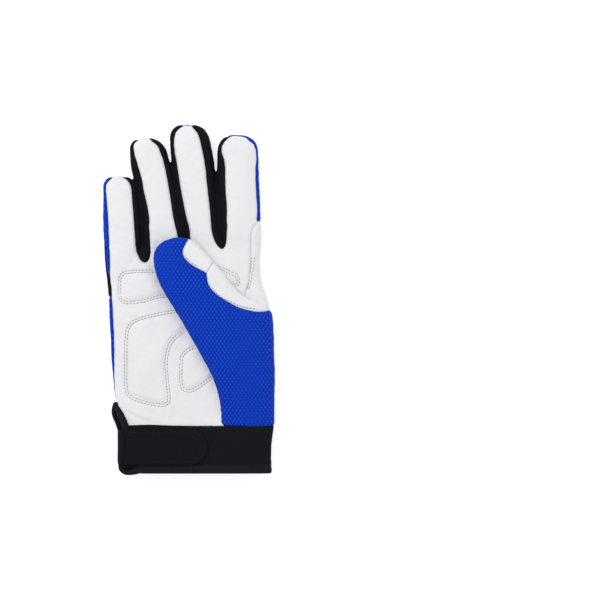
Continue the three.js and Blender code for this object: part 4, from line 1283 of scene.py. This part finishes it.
def math_node(tree, operation, first, second=None):
    made = tree.nodes.new("ShaderNodeMath")
    made.operation = operation
    for index, value in enumerate((first, second)):
        if value is None:
            continue
        if isinstance(value, (int, float)):
            made.inputs[index].default_value = value
        else:
            tree.links.new(value, made.inputs[index])
    return made.outputs[0]


def on_object(tree, *textures):
    """Fixes textures to the object's own coordinates, and returns those."""
    spot = tree.nodes.new("ShaderNodeTexCoord").outputs["Object"]
    for texture in textures:
        tree.links.new(spot, texture.inputs["Vector"])
    return spot


def mixed(tree, share, first, second):
    """A colour between two, by a share from 0 to 1; the first may be another node's colour."""
    mix = tree.nodes.new("ShaderNodeMix")
    mix.data_type = "RGBA"
    tree.links.new(share, mix.inputs["Factor"])
    if isinstance(first, bpy.types.NodeSocket):
        tree.links.new(first, mix.inputs["A"])
    else:
        mix.inputs["A"].default_value = (*first, 1)
    mix.inputs["B"].default_value = (*second, 1)
    return mix.outputs["Result"]


def emboss(tree, shader, height, strength, distance):
    """Turns a height into the shader's normal."""
    bump = node(tree, "ShaderNodeBump", Strength=strength, Distance=distance)
    tree.links.new(height, bump.inputs["Height"])
    tree.links.new(bump.outputs["Normal"], shader.inputs["Normal"])


def new_group(name, inputs, outputs):
    """A node group with named numbers going in and out, and its two end nodes."""
    tree = bpy.data.node_groups.new(name, "ShaderNodeTree")
    for label, default in inputs.items():
        socket = tree.interface.new_socket(label, in_out="INPUT", socket_type="NodeSocketFloat")
        socket.default_value = default
    for label in outputs:
        tree.interface.new_socket(label, in_out="OUTPUT", socket_type="NodeSocketFloat")
    return tree, tree.nodes.new("NodeGroupInput"), tree.nodes.new("NodeGroupOutput")


def use_group(tree, group):
    made = tree.nodes.new("ShaderNodeGroup")
    made.node_tree = group
    return made


def grain_group():
    """Pebbled grain and soft wrinkles: a height and a mottle over object space."""
    name = "leather grain"
    if name in bpy.data.node_groups:
        return bpy.data.node_groups[name]
    tree, entry, leave = new_group(
        name, {"Pebble scale": 1100.0, "Wrinkle scale": 120.0}, ("Height", "Mottle"))
    pebble = tree.nodes.new("ShaderNodeTexVoronoi")
    pebble.feature = "SMOOTH_F1"
    wrinkle = node(tree, "ShaderNodeTexNoise", Detail=6.0, Roughness=0.6, Distortion=0.6)
    mottle = node(tree, "ShaderNodeTexNoise", Scale=45.0, Detail=3.0)
    on_object(tree, pebble, wrinkle, mottle)
    tree.links.new(entry.outputs["Pebble scale"], pebble.inputs["Scale"])
    tree.links.new(entry.outputs["Wrinkle scale"], wrinkle.inputs["Scale"])
    low = math_node(tree, "MULTIPLY", pebble.outputs["Distance"], 0.35)
    tree.links.new(math_node(tree, "ADD", low, wrinkle.outputs["Fac"]), leave.inputs["Height"])
    tree.links.new(mottle.outputs["Fac"], leave.inputs["Mottle"])
    return tree


def cloth_side_group():
    """Lays a flat pattern on whichever side of a piece faces it: two lengths along the cloth, in mm."""
    name = "cloth lay"
    if name in bpy.data.node_groups:
        return bpy.data.node_groups[name]
    tree, _, leave = new_group(name, {}, ("Across", "Along"))
    lengths = tree.nodes.new("ShaderNodeSeparateXYZ")
    tree.links.new(on_object(tree), lengths.inputs[0])
    attribute = tree.nodes.new("ShaderNodeAttribute")
    attribute.attribute_name = "cloth"
    facing = tree.nodes.new("ShaderNodeSeparateXYZ")
    tree.links.new(attribute.outputs["Vector"], facing.inputs[0])
    steep = 0.72
    for axis, target in (("X", "Across"), ("Y", "Along")):
        sideways = math_node(tree, "GREATER_THAN", facing.outputs[axis], steep)
        rise = math_node(tree, "SUBTRACT", lengths.outputs["Z"], lengths.outputs[axis])
        chosen = math_node(tree, "ADD", lengths.outputs[axis], math_node(tree, "MULTIPLY", rise, sideways))
        tree.links.new(math_node(tree, "DIVIDE", chosen, MM), leave.inputs[target])
    return tree


def leather_material():
    """White leather: pebbled grain, soft wrinkles and a faint mottle."""
    material, shader = new_material("white goatskin", 0.56, gloss=0.3)
    tree = material.node_tree
    grain = use_group(tree, grain_group())
    grain.inputs["Pebble scale"].default_value = 1250.0
    grain.inputs["Wrinkle scale"].default_value = 150.0
    red, green, blue = colours().leather
    dull = (red * 0.965, green * 0.965, blue * 0.975)
    bright = (min(1, red * 1.03), min(1, green * 1.03), blue * 1.02)
    tree.links.new(mixed(tree, grain.outputs["Mottle"], dull, bright), shader.inputs["Base Color"])
    emboss(tree, shader, grain.outputs["Height"], 0.35, 0.6 * MM)
    return material


def knit_material():
    """Dotted stretch knit: raised light dots in staggered rows, with painted shade in the small low gaps
    between them.
    """
    material, shader = new_material("blue dotted knit", 0.82)
    tree = material.node_tree

    def calc(operation, first, second=None):
        return math_node(tree, operation, first, second)

    def spot(sideways, endways, far, near):
        """Fades in from far to near a middle that lies these two lengths off."""
        squares = calc("ADD", calc("MULTIPLY", sideways, sideways), calc("MULTIPLY", endways, endways))
        fade = node(tree, "ShaderNodeMapRange", From_Min=far, From_Max=near, To_Min=0.0, To_Max=1.0)
        fade.interpolation_type = "SMOOTHSTEP"
        tree.links.new(calc("SQRT", squares), fade.inputs["Value"])
        return fade.outputs["Result"]

    lay = use_group(tree, cloth_side_group())
    dot_across, dot_along = 2.72, 2.02
    across = calc("DIVIDE", lay.outputs["Across"], dot_across)
    along = calc("DIVIDE", lay.outputs["Along"], dot_along)
    shift = calc("MULTIPLY", calc("FLOORED_MODULO", calc("FLOOR", along), 2.0), 0.5)
    u = calc("SUBTRACT", calc("FRACT", calc("ADD", across, shift)), 0.5)
    v = calc("SUBTRACT", calc("FRACT", along), 0.5)
    endways = calc("MULTIPLY", v, dot_along)
    dot = spot(calc("MULTIPLY", u, dot_across), endways, 0.78, 0.2)
    gap = spot(calc("MULTIPLY", calc("SUBTRACT", 0.5, calc("ABSOLUTE", u)), dot_across), endways, 0.7, 0.15)
    fuzz = node(tree, "ShaderNodeTexNoise", Scale=900.0, Detail=4.0)
    on_object(tree, fuzz)
    red, green, blue = colours().knit
    lighter = mixed(tree, dot, (red, green, blue), colours().knit_dot)
    # Painted shade: the blue darkens in the low gaps between the raised dots
    shade = (red * 0.3, green * 0.4, blue * 0.72)
    tree.links.new(mixed(tree, calc("MULTIPLY", gap, 0.8), lighter, shade), shader.inputs["Base Color"])
    height = calc("ADD", calc("SUBTRACT", dot, gap), calc("MULTIPLY", fuzz.outputs["Fac"], 0.5))
    emboss(tree, shader, height, 0.6, 0.4 * MM)
    return material


def weave_material(name, colour, roughness, pitch, strength):
    """Fine ribbed black cloth with a slight fleck."""
    material, shader = new_material(name, roughness)
    tree = material.node_tree
    waves_to_a_unit = 20.0
    rib = node(tree, "ShaderNodeTexWave", Scale=1000.0 / pitch / waves_to_a_unit, Distortion=1.5, Detail=2.0)
    fleck = node(tree, "ShaderNodeTexNoise", Scale=1400.0, Detail=4.0, Roughness=0.7)
    on_object(tree, rib, fleck)
    dark, light = tuple(c * 0.72 for c in colour), tuple(c * 1.45 for c in colour)
    tree.links.new(mixed(tree, fleck.outputs["Fac"], dark, light), shader.inputs["Base Color"])
    flecks = math_node(tree, "MULTIPLY", fleck.outputs["Fac"], 0.7)
    emboss(tree, shader, math_node(tree, "ADD", rib.outputs["Fac"], flecks), strength, 0.3 * MM)
    return material


def thread_material(name, colour):
    """Twisted thread, or the shade of a needle hole."""
    material, shader = new_material(name, 0.6)
    tree = material.node_tree
    twist = node(tree, "ShaderNodeTexNoise", Scale=2500.0, Detail=2.0)
    on_object(tree, twist)
    dark, light = tuple(c * 0.85 for c in colour), tuple(min(1, c * 1.1) for c in colour)
    tree.links.new(mixed(tree, twist.outputs["Fac"], dark, light), shader.inputs["Base Color"])
    return material


def material_for(slot):
    tint = colours()
    makers = {
        "white_leather": leather_material,
        "blue_knit": knit_material,
        "black_stretch": lambda: weave_material("black stretch knit", tint.stretch, 0.72, 0.9, 0.5),
        "black_neoprene": lambda: weave_material("black neoprene jersey", tint.neoprene, 0.66, 0.7, 0.2),
        "black_binding": lambda: weave_material("black binding tape", tint.tape, 0.6, 0.6, 0.35),
        "black_strap": lambda: weave_material("black loop tape", tint.neoprene, 0.8, 1.2, 0.7),
        "white_thread": lambda: thread_material("white thread", tint.thread),
        "black_thread": lambda: thread_material("black thread", tuple(2.6 * c for c in tint.neoprene)),
        # Painted shade: a dark grey for the small balls that stand for the shade inside the needle holes
        "needle_hole": lambda: thread_material("needle hole", (0.16, 0.155, 0.16)),
    }
    title = "glove " + slot
    if title not in bpy.data.materials:
        makers[slot]().name = title
    return bpy.data.materials[title]


def lay_cloth(piece):
    """Stores how far each point of the cloth faces sideways and endways, as an attribute."""
    cloth = piece.data.attributes.new("cloth", "FLOAT_VECTOR", "POINT")
    cloth.data.foreach_set("vector", np.abs(vertex_normals(piece.data)).astype(np.float32).ravel())


def dress_nodes(name, tubes, table, correct):
    """Models the panels of one skin and finishes each as the piece that stands for its node."""
    pieces = dress_group(name, tubes, table, correct)
    for node_name, piece in pieces.items():
        title, slot = table[node_name]
        piece.name = title
        lay_cloth(piece)
        finish_piece(piece, material_for(slot), slot, node_name)
    return pieces


# Operators


class GLOVE_OT_stage(bpy.types.Operator):
    """Lays a plain pale floor, soft studio lights and the camera straight above"""

    bl_idname = "glove.stage"
    bl_label = "Stage"

    def execute(self, context):
        scene = context.scene
        scene.view_settings.view_transform = "Standard"
        bpy.ops.object.select_all(action="DESELECT")
        bpy.ops.mesh.primitive_plane_add(size=6, location=(0, 0, -0.2 * MM))
        floor = context.object
        floor.name = "floor"
        floor_material, shader = new_material("pale floor", 0.9, gloss=0.0)
        shader.inputs["Base Color"].default_value = (0.5, 0.5, 0.5, 1)
        shader.inputs["Emission Color"].default_value = (1, 1, 1, 1)
        shader.inputs["Emission Strength"].default_value = 0.72
        floor.data.materials.append(floor_material)
        world = bpy.data.worlds.new("studio")
        scene.world = world
        world.use_nodes = True
        background = world.node_tree.nodes["Background"]
        background.inputs["Color"].default_value = (1, 1, 1, 1)
        background.inputs["Strength"].default_value = 0.66
        for name, place_at, reach, power in (
            ("key light", (-0.45, 0.55, 0.9), 0.5, 5.0),
            ("fill light", (0.7, -0.35, 1.0), 0.9, 2.0),
        ):
            bpy.ops.object.light_add(type="AREA", location=place_at)
            lamp = context.object
            lamp.name = name
            lamp.data.size = reach
            lamp.data.energy = power
            lamp.rotation_euler = Vector(place_at).to_track_quat("Z", "Y").to_euler()
        pixel = 0.7 * MM
        frame_pixels = 600
        glove_middle = (189.9, 299.0)
        distance = 3.0
        bpy.ops.object.camera_add(location=(
            (frame_pixels / 2 - glove_middle[0]) * pixel, (glove_middle[1] - frame_pixels / 2) * pixel,
            distance))
        camera = context.object
        camera.name = "camera"
        camera.data.sensor_width = 36
        camera.data.lens = 36 * (distance - 0.015) / (frame_pixels * pixel)
        camera.data.clip_end = 20
        scene.camera = camera
        return {"FINISHED"}


class GLOVE_OT_hand(bpy.types.Operator):
    """Models the palm, the fingers and the back, and cuts them into their panels"""

    bl_idname = "glove.hand"
    bl_label = "Hand panels"

    def execute(self, context):
        tubes = [grid_piece(f"finger {i}", place(finger_rings(i))) for i in range(len(FINGERS))]
        tubes.insert(0, grid_piece("palm", place(palm_rings())))
        pieces = dress_nodes("hand", tubes, HAND_NODES, correct_hand)
        return {"FINISHED"}


class GLOVE_OT_thumb(bpy.types.Operator):
    """Models the folded thumb and cuts it into its knit back and leather front"""

    bl_idname = "glove.thumb"
    bl_label = "Thumb panels"

    def execute(self, context):
        dress_nodes("thumb", [grid_piece("thumb", place(thumb_rings()))], THUMB_NODES, correct_thumb)
        return {"FINISHED"}


class GLOVE_OT_cuff(bpy.types.Operator):
    """Models the neoprene cuff, the binding round its hem and vent, and the closing strap"""

    bl_idname = "glove.cuff"
    bl_label = "Cuff, binding and strap"

    def execute(self, context):
        for make, slot, node_name in (
            (make_cuff, "black_neoprene", "cuff_band"),
            (make_binding, "black_binding", "cuff_binding"),
            (make_strap, "black_strap", "closure_strap"),
        ):
            finish_piece(make(), material_for(slot), slot, node_name)
        return {"FINISHED"}


class GLOVE_OT_stitches(bpy.types.Operator):
    """Sews the pads, the index patch, the thumb, the strap and the binding"""

    bl_idname = "glove.stitches"
    bl_label = "Stitches"

    def execute(self, context):
        pieces = bpy.data.objects
        thumb = [tree_of(pieces[title]) for title, _ in THUMB_NODES.values()]
        palm, patch = tree_of(pieces["sewn_palm"]), tree_of(pieces["sewn_index_patch"])
        white = []
        for outline in PADS:
            ring = closed_through([(x, y, 0) for x, y in outline], 6)[:, :2]
            ring = np.concatenate([ring, ring[:1]])
            white += drop(ring, palm, thumb)
            white += drop(inside(ring, ROW_APART), palm, thumb)
        for row in PATCH_ROWS:
            white += drop(through(row, 6), patch, thumb)
        for row in THUMB_ROWS_OF_STITCHES:
            for tree in thumb:
                white += drop(through(row, 6), tree, [t for t in thumb if t is not tree])
        holes = sew("white_stitches", white, material_for("white_thread"), "white_leather")
        # Dark balls of painted shade go into the needle holes at the stitches' ends
        paint_hole_shade("needle_holes", holes, material_for("needle_hole"), "white_leather")
        strap = tree_of(pieces["loop_strap"])
        black = []
        for margin in STRAP_MARGINS:
            black += drop(strap_outline(margin), strap)
        binding = tree_of(pieces["binding_tape"])
        across = np.linspace(HEM_STITCHES_LEFT, HEM_STITCHES_RIGHT, 60)
        hem = np.column_stack([across, np.full(len(across), HEM_STITCHES)])
        black += drop(hem, binding, [strap, palm])
        sew("black_stitches", black, material_for("black_thread"), "black_binding", rise=0.05 * MM)
        return {"FINISHED"}


def inside(ring, distance):
    """A closed plan outline moved inwards."""
    along = unit(np.roll(ring[:-1], -1, axis=0) - np.roll(ring[:-1], 1, axis=0))
    inwards = np.column_stack([-along[:, 1], along[:, 0]])
    middle = ring[:-1].mean(axis=0)
    if (inwards * (middle - ring[:-1])).sum() < 0:
        inwards = -inwards
    moved = ring[:-1] + inwards * distance
    return np.concatenate([moved, moved[:1]])


def strap_outline(margin):
    """A line round the strap's front, a margin inside its edge."""
    middle, half = (STRAP_LOW + STRAP_HIGH) / 2, (STRAP_HIGH - STRAP_LOW) / 2 - margin
    start = STRAP_BEND + 0.5 if margin < 3 else STRAP_END - STRAP_ROUND
    turn = np.linspace(math.pi / 2, -math.pi / 2, 30)
    reach = STRAP_ROUND - margin
    arc = np.column_stack([
        STRAP_END - STRAP_ROUND + reach * signed_power(np.cos(turn), 0.85),
        middle + half * signed_power(np.sin(turn), 0.95)])
    return np.concatenate([[(start, middle + half)], arc, [(start, middle - half)]])


class GLOVE_PT_panel(bpy.types.Panel):
    """Lists the steps that model the glove"""

    bl_idname = "GLOVE_PT_panel"
    bl_label = "Curling glove"
    bl_space_type = "VIEW_3D"
    bl_region_type = "UI"
    bl_category = "Glove"

    def draw(self, context):
        for operator in OPERATORS:
            self.layout.operator(operator.bl_idname)


OPERATORS = (GLOVE_OT_stage, GLOVE_OT_hand, GLOVE_OT_thumb, GLOVE_OT_cuff, GLOVE_OT_stitches)
CLASSES = (GloveSizes, GloveColours, *OPERATORS, GLOVE_PT_panel)


def register():
    for item in CLASSES:
        bpy.utils.register_class(item)
    bpy.types.Scene.glove_sizes = bpy.props.PointerProperty(type=GloveSizes)
    bpy.types.Scene.glove_colours = bpy.props.PointerProperty(type=GloveColours)


def unregister():
    del bpy.types.Scene.glove_colours
    del bpy.types.Scene.glove_sizes
    for item in reversed(CLASSES):
        bpy.utils.unregister_class(item)


def main():
    register()
    bpy.ops.glove.stage()
    bpy.ops.glove.hand()
    bpy.ops.glove.thumb()
    bpy.ops.glove.cuff()
    bpy.ops.glove.stitches()


if __name__ == "__main__":
    main()
